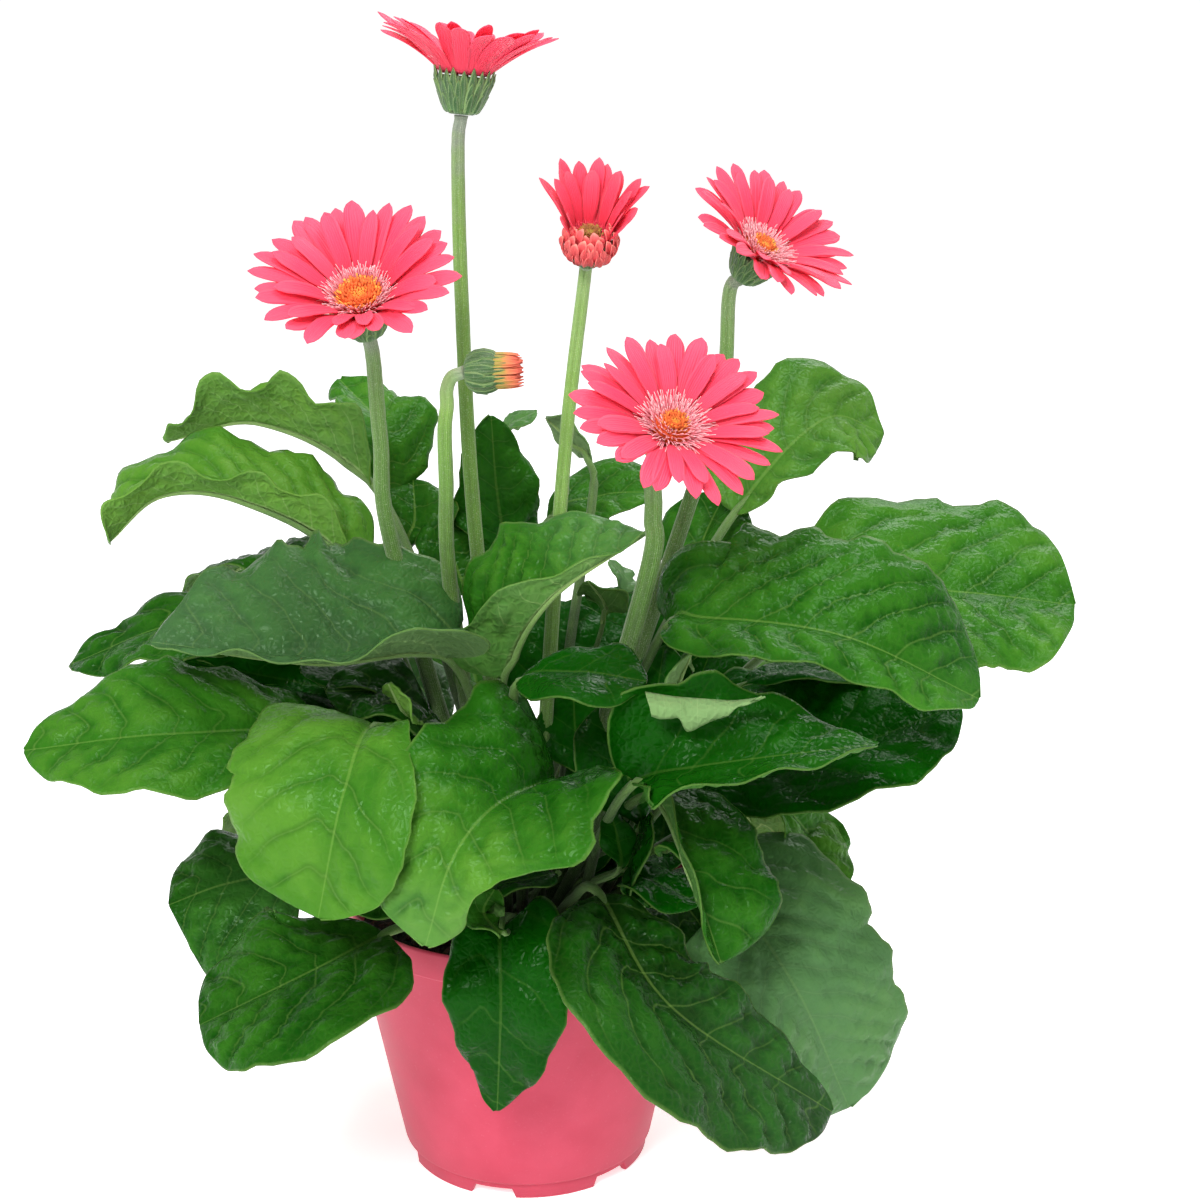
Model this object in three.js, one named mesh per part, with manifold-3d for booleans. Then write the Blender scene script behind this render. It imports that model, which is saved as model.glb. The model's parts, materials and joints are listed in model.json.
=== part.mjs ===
// A potted gerbera: a plastic pot with its soil, the crown of the plant, a rosette of leaves,
// and scapes that carry open heads, a half-open head and a bud.
// Millimetres, +Z up. The origin is the centre of the pot's foot, on the surface it stands on.
import * as THREE from "three";
import { mergeVertices } from "three/addons/utils/BufferGeometryUtils.js";
import Module from "manifold-3d";

const wasm = await Module();
wasm.setup();

// Driving dimensions
const gap = 0.3; // clearance between pieces that touch
const potHeight = 118;
const potFootRadius = 51;
const potRimRadius = 76;
const rimBand = 13; // height of the thicker band at the top
const rimStep = 3; // how far the band stands proud of the wall
const potWall = 2;
const footHeight = 7;
const floorRise = 3; // the floor is raised between the centre pad and the foot ring
const soilTop = 106;
const crownTop = 113;
const crownRadius = 37;
const turnSides = 36; // facets of the pot, the soil and the crown

// Materials
const finish = (color, roughness) => new THREE.MeshStandardMaterial({ color, roughness, metalness: 0 });
const materials = {
  pot: finish(0xe0566f, 0.55),
  soil: finish(0x2c1d16, 0.95),
  crown: finish(0x5d7a3a, 0.8),
  leafDark: finish(0x1f5c22, 0.35),
  leafMid: finish(0x35801f, 0.35),
  leafLight: finish(0x5a9a2c, 0.4),
  scape: finish(0x86a861, 0.6),
  involucre: finish(0x3f6b3c, 0.7),
  petal: finish(0xff5a78, 0.55),
  disc: finish(0xf08c2e, 0.8),
  budTip: finish(0xe8664f, 0.6),
};

// Shapes

const v3 = (p) => new THREE.Vector3(p[0], p[1], p[2]);

// A solid of revolution about Z from [radius, height] pairs, listed either way round.
function turned(profile, sides = turnSides) {
  const points = profile.map(([r, z]) => new THREE.Vector2(r, z));
  if (THREE.ShapeUtils.area(points) < 0) points.reverse();
  return new THREE.LatheGeometry(points, sides).rotateX(Math.PI / 2);
}

// A closed tube of rings: ringPoint(ring, angle) places each point of a cylinder's side.
// Angle 0 is the top of a ring and a quarter turn is its right-hand side.
function lofted(rings, sides, ringPoint) {
  const tube = new THREE.CylinderGeometry(1, 1, 1, sides, rings - 1);
  const place = tube.attributes.position;
  const ringMean = (ring) => {
    const sum = new THREE.Vector3();
    for (let k = 0; k < sides; k++) sum.add(ringPoint(ring, (k * 2 * Math.PI) / sides));
    return sum.divideScalar(sides);
  };
  for (let i = 0; i < place.count; i++) {
    const [x, y, z] = [place.getX(i), place.getY(i), place.getZ(i)];
    const ring = Math.round((y + 0.5) * (rings - 1));
    const onAxis = Math.hypot(x, z) < 0.5;
    const side = Math.round((Math.atan2(x, z) * sides) / (2 * Math.PI) + sides) % sides;
    const p = onAxis ? ringMean(ring) : ringPoint(ring, (side * 2 * Math.PI) / sides);
    place.setXYZ(i, p.x, p.y, p.z);
  }
  // The faces of the under half are split along the same diagonals as those above them, so that a
  // thin blade's two skins stay apart where it twists.
  const corners = tube.index;
  for (let side = sides / 4; side < (3 * sides) / 4; side++) {
    for (let ring = 0; ring < rings - 1; ring++) {
      const first = 6 * (side * (rings - 1) + ring);
      corners.setX(first + 2, corners.getX(first + 4));
      corners.setX(first + 3, corners.getX(first));
    }
  }
  return tube;
}

// The uniform Catmull-Rom curve through a list of points, read at 0..1.
const route = (points) => new THREE.CatmullRomCurve3(points, false, "catmullrom", 0.5);

// Right-hand and upper directions on a curve, from a level right-hand direction and a roll in degrees.
function directions(curve, at, levelRight, roll) {
  const forward = curve.getTangent(at);
  const right = levelRight.clone().addScaledVector(forward, -levelRight.dot(forward)).normalize();
  const top = right.clone().cross(forward);
  const turn = THREE.MathUtils.degToRad(roll);
  const rolledRight = right.clone().multiplyScalar(Math.cos(turn)).addScaledVector(top, -Math.sin(turn));
  const rolledTop = top.clone().multiplyScalar(Math.cos(turn)).addScaledVector(right, Math.sin(turn));
  return [rolledRight, rolledTop];
}

const mix = THREE.MathUtils.lerp;

// Joining solids
function solidOf(geometry) {
  const bare = geometry.clone();
  bare.deleteAttribute("normal");
  bare.deleteAttribute("uv");
  const merged = mergeVertices(bare, 1e-4);
  return new wasm.Manifold(
    new wasm.Mesh({
      numProp: 3,
      vertProperties: merged.attributes.position.array,
      triVerts: new Uint32Array(merged.index.array),
    }),
  );
}

function geometryOf(solid) {
  const mesh = solid.getMesh();
  const geometry = new THREE.BufferGeometry();
  geometry.setAttribute("position", new THREE.BufferAttribute(new Float32Array(mesh.vertProperties), 3));
  geometry.setIndex(new THREE.BufferAttribute(mesh.triVerts, 1));
  return geometry;
}

// The pot: a tapered wall with a band at the rim, a raised floor with drain holes, and a notched foot.
const wallTop = potHeight - rimBand;
const footStep = 2; // how far the wall's lower edge stands out over the foot
function wallRadiusAt(z) {
  const t = (z - footHeight) / (wallTop - footHeight);
  return mix(potFootRadius + footStep, potRimRadius - rimStep, t);
}
const floorTop = floorRise + potWall;
const padRadius = 30;
const footInner = 48;

function pot() {
  const body = solidOf(
    turned([
      [0, potWall],
      [padRadius, potWall],
      [padRadius + 3, floorTop],
      [potFootRadius - potWall, floorTop],
      [wallRadiusAt(footHeight + 1) - potWall, footHeight + 1],
      [wallRadiusAt(wallTop) - potWall, wallTop],
      [potRimRadius - potWall - 0.6, wallTop + 1.5],
      [potRimRadius - potWall, potHeight],
      [potRimRadius, potHeight],
      [potRimRadius, wallTop + 1],
      [wallRadiusAt(wallTop), wallTop],
      [wallRadiusAt(footHeight), footHeight],
      [potFootRadius, footHeight],
      [potFootRadius, 0],
      [footInner + 3, 0],
      [footInner, floorRise],
      [padRadius + 2, floorRise],
      [padRadius - 1, 0],
      [0, 0],
    ]),
  );
  const holes = 8;
  const holeRadius = 4;
  const holeCircle = 40;
  const notches = 6;
  const notchWidth = 19;
  const notchHeight = 4;
  const notchDepth = 7;
  const notchBearing = THREE.MathUtils.degToRad(253);
  let cut = body;
  for (let i = 0; i < holes; i++) {
    const a = (i * 2 * Math.PI) / holes;
    const drill = new THREE.CylinderGeometry(holeRadius, holeRadius, 20, 8).rotateX(Math.PI / 2);
    drill.translate(holeCircle * Math.cos(a), holeCircle * Math.sin(a), floorRise);
    cut = cut.subtract(solidOf(drill));
  }
  for (let i = 0; i < notches; i++) {
    const a = notchBearing + (i * 2 * Math.PI) / notches;
    const tool = new THREE.BoxGeometry(2 * notchDepth, notchWidth, 2 * notchHeight);
    tool.translate(potFootRadius, 0, 0).rotateZ(a);
    cut = cut.subtract(solidOf(tool));
  }
  return geometryOf(cut);
}

// The soil: a plug that fills the pot to the watering gap, a little higher in the middle.
function soil() {
  const edge = (z) => wallRadiusAt(z) - potWall - gap;
  return turned([
    [0, soilTop + 0.01],
    [crownRadius + 3, soilTop],
    [edge(soilTop - 6), soilTop - 6],
    [edge(footHeight + 2), footHeight + 2],
    [potFootRadius - potWall - 1, floorTop + gap],
    [padRadius + 3, floorTop + gap],
    [padRadius - 1, potWall + gap],
    [0, potWall + gap],
  ]);
}

// The crown: the low woody mound that every leaf and scape grows from.
function crown() {
  return turned([
    [0, crownTop],
    [crownRadius - 4, crownTop],
    [crownRadius, soilTop + 3],
    [crownRadius, soilTop + gap],
    [0, soilTop + gap],
  ]);
}

// A point on the crown's top, from its ring's radius and a direction in degrees.
function onCrown(radius, bearing) {
  const a = THREE.MathUtils.degToRad(bearing);
  return new THREE.Vector3(radius * Math.cos(a), radius * Math.sin(a), crownTop + gap);
}

// Leaves. root is [ring radius, bearing] on the crown; neck, arch, over where there is one, and tip
// are points of the midrib. half is the greatest half width, [left, right] of the midrib, widest is
// where they lie along the blade, and full is how full its outline is towards the neck and the tip, a
// low number being fuller; shape, where given, lists both sides' half widths at the blade's stations
// instead. back draws the margin back past the neck, left and right. roll turns the top face towards
// the leaf's right, in degrees, at the neck and at the tip. left and right bend each half blade:
// [angle beside the midrib at the neck, the same at the tip, further angle at the margin, the same at
// the tip], up being positive.
const plain = {
  roll: [0, 0],
  left: [15, 15, -25, -25],
  right: [15, 15, -25, -25],
  back: [0, 0],
  widest: [0.58, 0.58],
  full: [1.1, 0.55],
  wave: 2,
  tone: "leafMid",
};

const leaves = {
  front_small: {
    root: [31.5, 264], neck: [-10, -82, 136], arch: [-10, -99, 109], tip: [-12, -92, 63],
    half: [27, 22], widest: [0.36, 0.36], full: [0.8, 0.6],
  },
  front_right_large: {
    root: [31.5, 290], neck: [28, -75, 146], arch: [53, -118, 119], tip: [115, -112, 71],
    half: [26, 46], roll: [10, 15], left: [35, 10, -20], widest: [0.52, 0.52], full: [0.7, 0.5],
    tone: "leafDark",
  },
  right_low: {
    root: [31.5, 330], neck: [80, -45, 129], arch: [105, -72, 104], tip: [130, -60, 44],
    shape: [[28, 44, 48, 46, 42, 38, 31, 20], [22, 32, 35, 35, 33, 30, 25, 16]],
    back: [18, 0], roll: [30, 55], tone: "leafDark",
  },
  right_hanging: {
    root: [22, 298], neck: [50, -60, 180], arch: [62, -98, 161], tip: [72, -112, 133],
    shape: [[14, 26, 32, 33, 33, 31, 26, 18], [10, 15, 15, 13, 11, 8, 6, 4]],
    right: [75, 40, 20],
  },
  right_low_small: {
    root: [31.5, 354], neck: [97, -10, 158], arch: [117, -5, 143], tip: [135, 0, 110],
    half: [18, 28], roll: [30, 60],
  },
  left_low: {
    root: [31.5, 228], neck: [-54, -66, 127], arch: [-82, -92, 123], tip: [-124, -95, 103],
    half: [44, 43], roll: [-10, -10], widest: [0.55, 0.55], full: [0.6, 0.4],
  },
  left_low_back: {
    root: [31.5, 203], neck: [-92, -22, 134], arch: [-121, -30, 133], tip: [-144, -32, 125],
    shape: [[20, 34, 42, 44, 42, 38, 30, 20], [20, 30, 33, 33, 30, 27, 22, 14]],
    roll: [-15, -15], left: [-15, -25, -25, -25],
  },
  left_pale: {
    root: [31.5, 246], neck: [-55, -72, 214], arch: [-65, -112, 203], tip: [-75, -122, 158],
    shape: [[11, 14, 20, 27, 31, 28, 22, 14], [28, 42, 46, 46, 43, 39, 33, 22]],
    back: [8, 12], left: [17, 15, -25, -25], tone: "leafLight",
  },
  front_pale: {
    root: [22, 283], neck: [14, -62, 190], arch: [-14, -112, 194], tip: [-36, -138, 153],
    shape: [[40, 49, 40, 23, 16, 13, 11, 8], [25, 32, 38, 40, 37, 31, 24, 15]],
    back: [24, 4], roll: [-45, -15], left: [28, 5, -10, -25], tone: "leafLight",
  },
  left_glossy: {
    root: [31.5, 215], neck: [-76, -45, 200], arch: [-133, -70, 211], tip: [-188, -70, 205],
    half: [33, 40], roll: [-25, -25], widest: [0.5, 0.5], full: [0.55, 0.62],
  },
  left_dark: {
    root: [13, 250], neck: [-26, -45, 233], arch: [-84, -62, 243], tip: [-139, -62, 244],
    shape: [[22, 34, 36, 31, 24, 19, 15, 10], [18, 30, 39, 45, 45, 38, 28, 16]],
    back: [5, 4], roll: [-25, -25], left: [-15, -20, 120, 0], right: [25, 15, -20], tone: "leafDark",
  },
  left_back: {
    root: [31.5, 178], neck: [-79, 10, 221], arch: [-135, 5, 233], tip: [-184, 0, 217],
    half: [30, 22], roll: [-15, -15], tone: "leafDark",
  },
  left_back_small: {
    root: [22, 150], neck: [-72, 45, 228], arch: [-106, 66, 246], tip: [-150, 95, 218],
    half: [30, 20],
  },
  upper_left_front: {
    root: [22, 180], neck: [-70, 10, 257], arch: [-113, 15, 282], over: [-146, 15, 284],
    tip: [-168, 12, 265],
    shape: [[6, 12, 14, 15, 15, 14, 13, 10], [18, 30, 37, 36, 33, 31, 32, 25]],
    back: [0, 6], left: [75, 30, 0], right: [50, 35, -30],
  },
  upper_left_back: {
    root: [13, 140], neck: [-62, 45, 280], arch: [-110, 65, 304], tip: [-152, 70, 295],
    half: [28, 24], left: [80, 30, 0], right: [20, 10, 0], widest: [0.42, 0.5], full: [0.9, 0.6],
  },
  back_left: {
    root: [13, 110], neck: [-54, 60, 258], arch: [-59, 75, 296], tip: [-80, 105, 315],
    half: [17, 26],
  },
  back_dark: {
    root: [13, 75], neck: [-7, 58, 244], arch: [-11, 66, 275], tip: [-13, 74, 304], half: [20, 19],
    widest: [0.35, 0.35], full: [0.6, 0.6],
  },
  back_tip: {
    root: [31.5, 82], neck: [-16, 135, 267], arch: [-8, 140, 285], tip: [7, 142, 293],
    half: [12, 14],
  },
  back_narrow: {
    root: [13, 40], neck: [31, 62, 279], arch: [22, 72, 293], tip: [11, 80, 302], half: [11, 11],
    roll: [60, 60],
  },
  back_centre: {
    root: [22, 60], neck: [10, 74, 255], arch: [34, 84, 266], tip: [58, 78, 269], half: [26, 20],
    roll: [20, 20],
  },
  centre_quilted: {
    root: [22, 249], neck: [-8, -45, 224], arch: [9, -58, 259], tip: [47, -52, 283],
    shape: [[22, 30, 42, 46, 38, 28, 20, 12], [16, 24, 22, 12, 6, 5, 3, 2]],
    back: [2, 4], left: [62, 40, -20, -20], right: [80, 40, 20, 20], tone: "leafDark",
  },
  centre_dark: {
    root: [22, 266], neck: [-3, -58, 225], arch: [19, -80, 237], tip: [45, -90, 236], half: [18, 22],
    roll: [20, 20], full: [0.7, 0.5], tone: "leafDark",
  },
  right_large: {
    root: [22, 340], neck: [58, -38, 247], arch: [73, -55, 245], over: [119, -78, 249],
    tip: [172, -82, 224],
    shape: [[24, 38, 46, 52, 55, 53, 43, 27], [4, 9, 20, 25, 21, 16, 12, 7]],
    back: [6, 0], roll: [25, 20], left: [30, 15, -25],
  },
  far_right: {
    root: [22, 5], neck: [136, 20, 239], arch: [183, 25, 237], tip: [231, 20, 232],
    shape: [[26, 46, 55, 60, 59, 52, 42, 28], [30, 44, 50, 52, 50, 46, 38, 26]],
    back: [14, 0], roll: [25, 25],
  },
  upper_right: {
    root: [22, 30], neck: [91, 60, 263], arch: [131, 80, 300], tip: [160, 90, 292],
    shape: [[26, 44, 52, 54, 48, 40, 30, 18], [12, 22, 26, 24, 20, 15, 10, 6]],
    left: [45, 25, -20], right: [0, 0, -10],
  },
  right_shaded: {
    root: [31.5, 342], neck: [70, -30, 175], arch: [118, -45, 190], tip: [172, -40, 209],
    shape: [[36, 52, 56, 54, 48, 41, 32, 18], [10, 20, 27, 32, 32, 28, 21, 12]],
    back: [12, 0], roll: [25, 25], tone: "leafDark",
  },
  right_folded: {
    root: [31.5, 313], neck: [49, -85, 200], arch: [80, -106, 216], tip: [128, -108, 217],
    shape: [[12, 22, 28, 26, 24, 21, 15, 6], [20, 30, 32, 26, 19, 14, 10, 5]],
    back: [0, 4], left: [45, 30, 20, 20], right: [-45, -10, 60, 40],
  },
  pale_small: {
    root: [22, 322], neck: [56, -41, 210], arch: [59, -44, 221], tip: [66, -44, 236], half: [18, 15],
  },
  back_low_left: {
    root: [31.5, 145], neck: [-75, 55, 140], arch: [-105, 80, 132], tip: [-128, 98, 92],
    half: [34, 34],
  },
  back_low: {
    root: [31.5, 98], neck: [-10, 86, 138], arch: [-14, 118, 122], tip: [-16, 140, 70],
    half: [36, 36],
  },
  back_low_right: {
    root: [31.5, 41], neck: [72, 62, 142], arch: [96, 90, 128], tip: [114, 110, 80], half: [34, 34],
  },
  back_right: {
    root: [31.5, 66], neck: [50, 72, 184], arch: [78, 112, 196], tip: [110, 152, 162],
    half: [41, 41],
  },
  back_middle: {
    root: [31.5, 118], neck: [-20, 78, 176], arch: [-30, 122, 190], tip: [-44, 172, 152],
    half: [44, 44],
  },
  inner_left: {
    root: [22, 225], neck: [-30, -27, 192], arch: [-48, -38, 215], tip: [-77, -42, 218],
    half: [26, 26], roll: [-15, -15], tone: "leafDark",
  },
};

const petioleRings = 3;
const bladeStations = [0, 0.12, 0.28, 0.46, 0.64, 0.8, 0.93, 1];
const petioleRadius = 2.6;
const bladeThickness = 1;
const tipHalfWidth = 1.2;
const foldWidth = 10; // a half blade narrower than this rises less

// Half widths of a blade at b, 0 at the neck and 1 at the tip, on side 0 (left) or 1 (right).
function halfWidth(leaf, side, b) {
  if (leaf.shape) {
    const next = Math.max(bladeStations.findIndex((at) => at >= b), 1);
    const [from, to] = [bladeStations[next - 1], bladeStations[next]];
    const [near, far] = [leaf.shape[side][next - 1], leaf.shape[side][next]];
    const round = 1 - (Math.max(b - 0.84, 0) / 0.16) ** 2;
    const begun = 1 - (Math.max(0.06 - b, 0) / 0.06) ** 2;
    const width = mix(near, far, (b - from) / (to - from)) * Math.sqrt(Math.max(round * begun, 0));
    return Math.max(width, tipHalfWidth);
  }
  const along = Math.pow(b, Math.log(0.5) / Math.log(leaf.widest[side]));
  const swell = Math.max(Math.sin(Math.PI * along), 0);
  const width = leaf.half[side] * Math.pow(swell, mix(leaf.full[0], leaf.full[1], b));
  return Math.max(width, tipHalfWidth);
}

// The midrib: from the crown through a lift point of the petiole to the neck, the arch and the tip.
// Its first two spans are the petiole and the rest is the blade's.
function midrib(leaf) {
  const root = onCrown(...leaf.root);
  const neck = v3(leaf.neck);
  const lift = root.clone().lerp(neck, 0.4);
  lift.z = mix(root.z, neck.z, 0.55);
  return route([root, lift, neck, v3(leaf.arch), ...(leaf.over ? [v3(leaf.over)] : []), v3(leaf.tip)]);
}
const neckShare = (leaf) => (leaf.over ? 0.4 : 0.5);

// The level direction to a leaf's right, seen along its blade.
function levelRight(leaf) {
  const heading = v3(leaf.tip).sub(v3(leaf.neck)).setZ(0).normalize();
  return new THREE.Vector3(heading.y, -heading.x, 0);
}

// A point of the blade's middle surface, and the direction out of its top face:
// b runs from the neck to the tip and v from -1, the left margin, to 1, the right one.
function bladePoint(leaf, curve, b, v) {
  const at = mix(neckShare(leaf), 1, b);
  const [right, top] = directions(curve, at, levelRight(leaf), mix(leaf.roll[0], leaf.roll[1], b));
  const half = halfWidth(leaf, v < 0 ? 0 : 1, b);
  const reach = Math.abs(v) * half;
  const [neckRise, tipRise, neckCurl, tipCurl = neckCurl] = v < 0 ? leaf.left : leaf.right;
  const start = THREE.MathUtils.degToRad(mix(neckRise, tipRise, b)) * Math.min(1, half / foldWidth);
  const turn = THREE.MathUtils.degToRad(mix(neckCurl, tipCurl, b) * Math.abs(v)) || 1e-6;
  const out = (Math.sin(start + turn) - Math.sin(start)) / turn;
  const up = (Math.cos(start) - Math.cos(start + turn)) / turn;
  const ripple = leaf.wave * v * v * Math.sin(b * 11 + (v < 0 ? 0 : 2)) * Math.sin(Math.PI * b);
  const p = curve.getPoint(at);
  p.addScaledVector(right, Math.sign(v) * reach * out).addScaledVector(top, reach * up + ripple);
  const back = leaf.back[v < 0 ? 0 : 1] * Math.abs(v) ** 1.5 * Math.min(1, half / 15);
  p.addScaledVector(curve.getTangent(at), -back * (1 - THREE.MathUtils.smoothstep(b, 0, 0.5)));
  const slope = v === 0 ? 0 : start + turn;
  const facing = top.clone().multiplyScalar(Math.cos(slope));
  facing.addScaledVector(right, -Math.sign(v) * Math.sin(slope));
  return [p, facing];
}

function leafShape(leaf) {
  const curve = midrib(leaf);
  const rings = petioleRings + bladeStations.length;
  const level = levelRight(leaf);
  const upright = new THREE.Vector3(0, 0, 1);
  return lofted(rings, 8, (ring, angle) => {
    const [sideways, upwards] = [Math.sin(angle), Math.cos(angle)];
    if (ring < petioleRings) {
      const at = (neckShare(leaf) * ring) / petioleRings;
      const radius = petioleRadius * mix(1, 0.75, ring / petioleRings);
      const [right, top] = ring ? directions(curve, at, level, 0) : [level, level.clone().cross(upright)];
      return curve
        .getPoint(at)
        .addScaledVector(right, radius * sideways)
        .addScaledVector(top, radius * upwards);
    }
    const b = bladeStations[ring - petioleRings];
    const margin = Math.abs(sideways) > 0.9;
    const v = margin ? Math.sign(sideways) : Math.abs(sideways) < 0.1 ? 0 : Math.sign(sideways) / 2;
    const [p, facing] = bladePoint(leaf, curve, b, v);
    const keel = mix(3.4, 0.6, b);
    const below = v === 0 ? keel : bladeThickness / 2;
    return p.addScaledVector(facing, margin ? 0 : upwards > 0 ? bladeThickness / 2 : -below);
  });
}

// Flower stalks, each bare from the crown to its head. route runs up to the head, base is where the
// head's green cup begins, and axis is the way the head faces. The stalk bends into line with the head
// over its last stretch, bend, or by its route alone where that is 0. size scales the head, length is
// a petal's before that, and rise and droop are the petal's angles at the cup and at its tip, in
// degrees.
const flowers = {
  top: {
    root: [4.5, 150],
    route: [[-19, 5, 270], [-23, 10, 362]],
    base: [-22, 10, 434],
    axis: [0.1, -0.03, 1],
    bend: 15, radius: 3.1, size: 1,
    length: 30, rise: 34, droop: 14,
  },
  left: {
    root: [13, 172],
    route: [[-50, -20, 265], [-54, -28, 314]],
    base: [-57, -41, 358],
    axis: [-0.12, -0.72, 1],
    bend: 14, radius: 3.3, size: 1.04,
    length: 30, rise: 34, droop: 16,
  },
  centre: {
    root: [4.5, 330],
    route: [[11, -15, 230], [18, 0, 312]],
    base: [26, 2, 378],
    axis: [0.1, -0.6, 1],
    bend: 10, radius: 3, size: 0.78,
    length: 32, rise: 58, droop: 50,
  },
  right: {
    root: [13, 5],
    route: [[71, -5, 297], [80, -2, 332]],
    base: [86, -5, 373],
    axis: [0.6, -0.6, 1],
    bend: 9, radius: 3.2, size: 0.92,
    length: 30, rise: 30, droop: 8,
  },
  front: {
    root: [13, 325],
    route: [[46, -52, 260], [49, -57, 290]],
    base: [51, -72, 317],
    axis: [0.28, -0.8, 1],
    bend: 12, radius: 3.8, size: 1,
    length: 29, rise: 22, droop: 2,
  },
  bud: {
    root: [13, 205],
    route: [
      [-28, -24, 249],
      [-29, -34, 300],
      [-29, -38, 320],
      [-28, -38, 329],
      [-28, -38, 335],
      [-26, -38, 340],
    ],
    base: [-21, -38, 342],
    axis: [1, -0.15, 0.06],
    bend: 0, radius: 3, size: 1,
    kind: "bud",
  },
};

const stalkRings = 11;

// A stalk that is level at the crown and square to the head's axis at its top.
function scape(flower) {
  const axis = v3(flower.axis).normalize();
  const root = onCrown(...flower.root);
  const top = v3(flower.base).addScaledVector(axis, -gap);
  const neck = flower.bend ? [top.clone().addScaledVector(axis, -flower.bend)] : [];
  const curve = route([root, ...flower.route.map(v3), ...neck, top]);
  const side = new THREE.Vector3(1, 0, 0);
  return lofted(stalkRings, 8, (ring, angle) => {
    const at = ring / (stalkRings - 1);
    const forward = ring === 0 ? new THREE.Vector3(0, 0, 1) : at === 1 ? axis : curve.getTangent(at);
    const across = side.clone().addScaledVector(forward, -side.dot(forward)).normalize();
    const along = across.clone().cross(forward);
    return curve
      .getPoint(at)
      .addScaledVector(across, flower.radius * Math.sin(angle))
      .addScaledVector(along, flower.radius * Math.cos(angle));
  });
}

// Parts of a head, made with the cup's base at the origin and the head facing +Z.
const cupHeight = 14.4;
const cupRadius = 12;
const plateThickness = 1.2;
const plateRadius = 11.5;
const discRadius = 10.5;
const headSides = 16;

const involucre = () =>
  turned(
    [
      [0, 0],
      [5.5, 0],
      [8, 3.6],
      [10.2, 8.4],
      [cupRadius, cupHeight - 1.8],
      [cupRadius - 0.5, cupHeight],
      [0, cupHeight],
    ],
    headSides,
  );

// The ring of ray florets on its thin receptacle.
function petals(flower) {
  const count = 18;
  const spread = 0.8; // the most of its share of the ring that a petal fills
  const low = cupHeight + gap;
  const high = low + plateThickness;
  const plate = turned([[0, low], [plateRadius, low], [plateRadius, high], [0, high]], headSides);
  const stations = [
    { along: 0, half: 1.6, thick: 0.8 },
    { along: 0.65, half: 4.6, thick: 0.9 },
    { along: 1, half: 1.8, thick: 0.5 },
  ];
  let ring = solidOf(plate);
  for (let i = 0; i < count; i++) {
    const bearing = (i * 2 * Math.PI) / count;
    const outward = new THREE.Vector3(Math.cos(bearing), Math.sin(bearing), 0);
    const sideways = new THREE.Vector3(outward.y, -outward.x, 0);
    const petal = lofted(stations.length, 4, (k, angle) => {
      const { along, half, thick } = stations[k];
      const slope = THREE.MathUtils.degToRad(mix(flower.rise, flower.droop, along));
      const mean = THREE.MathUtils.degToRad(mix(flower.rise, (flower.rise + flower.droop) / 2, along));
      const run = flower.length * along;
      const radius = plateRadius - 1.5 + run * Math.cos(mean);
      const room = (spread * Math.PI * radius) / count;
      const normal = outward.clone().multiplyScalar(-Math.sin(slope)).setZ(Math.cos(slope));
      return outward
        .clone()
        .multiplyScalar(radius)
        .setZ(low + plateThickness / 2 + run * Math.sin(mean))
        .addScaledVector(sideways, Math.min(half, room) * Math.sin(angle))
        .addScaledVector(normal, (thick / 2) * Math.cos(angle));
    });
    ring = ring.add(solidOf(petal));
  }
  return geometryOf(ring);
}

// The domed disc of the small central florets.
function disc() {
  const low = cupHeight + gap + plateThickness + gap;
  return turned(
    [
      [0, low],
      [discRadius - 1, low],
      [discRadius, low + 2],
      [discRadius - 3.5, low + 3.6],
      [0, low + 4.2],
    ],
    headSides,
  );
}

// The bud: its cup closed round the petals, whose tips stand out of it.
const budLength = 15;
const budTips = 7.5;
const budCup = () =>
  turned(
    [
      [0, 0],
      [4, 0],
      [8, 3],
      [9, 8],
      [7.5, budLength],
      [0, budLength],
    ],
    headSides,
  );
const budPetals = () =>
  turned(
    [
      [0, budLength + gap],
      [7, budLength + gap],
      [6.5, budLength + 5],
      [4, budLength + budTips],
      [0, budLength + budTips],
    ],
    headSides,
  );

// The assembly
const group = new THREE.Group();
function add(name, geometry, material, parent = group) {
  const mesh = new THREE.Mesh(geometry, materials[material]);
  mesh.name = name;
  parent.add(mesh);
}

add("pot", pot(), "pot");
add("soil", soil(), "soil");
add("crown", crown(), "crown");
for (const [name, given] of Object.entries(leaves)) {
  const leaf = { ...plain, ...given };
  add("leaf_" + name, leafShape(leaf), leaf.tone);
}
for (const [name, flower] of Object.entries(flowers)) {
  add("scape_" + name, scape(flower), "scape");
  const head = new THREE.Group();
  head.position.set(...flower.base);
  head.quaternion.setFromUnitVectors(new THREE.Vector3(0, 0, 1), v3(flower.axis).normalize());
  head.scale.setScalar(flower.size);
  group.add(head);
  if (flower.kind === "bud") {
    add("involucre_" + name, budCup(), "involucre", head);
    add("petals_" + name, budPetals(), "budTip", head);
  } else {
    add("involucre_" + name, involucre(), "involucre", head);
    add("petals_" + name, petals(flower), "petal", head);
    add("disc_" + name, disc(), "disc", head);
  }
}

export default group;
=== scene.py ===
import json
import math
import random
from functools import partial

import bmesh
import bpy
import numpy as np
from mathutils import Matrix, Vector, noise


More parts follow.
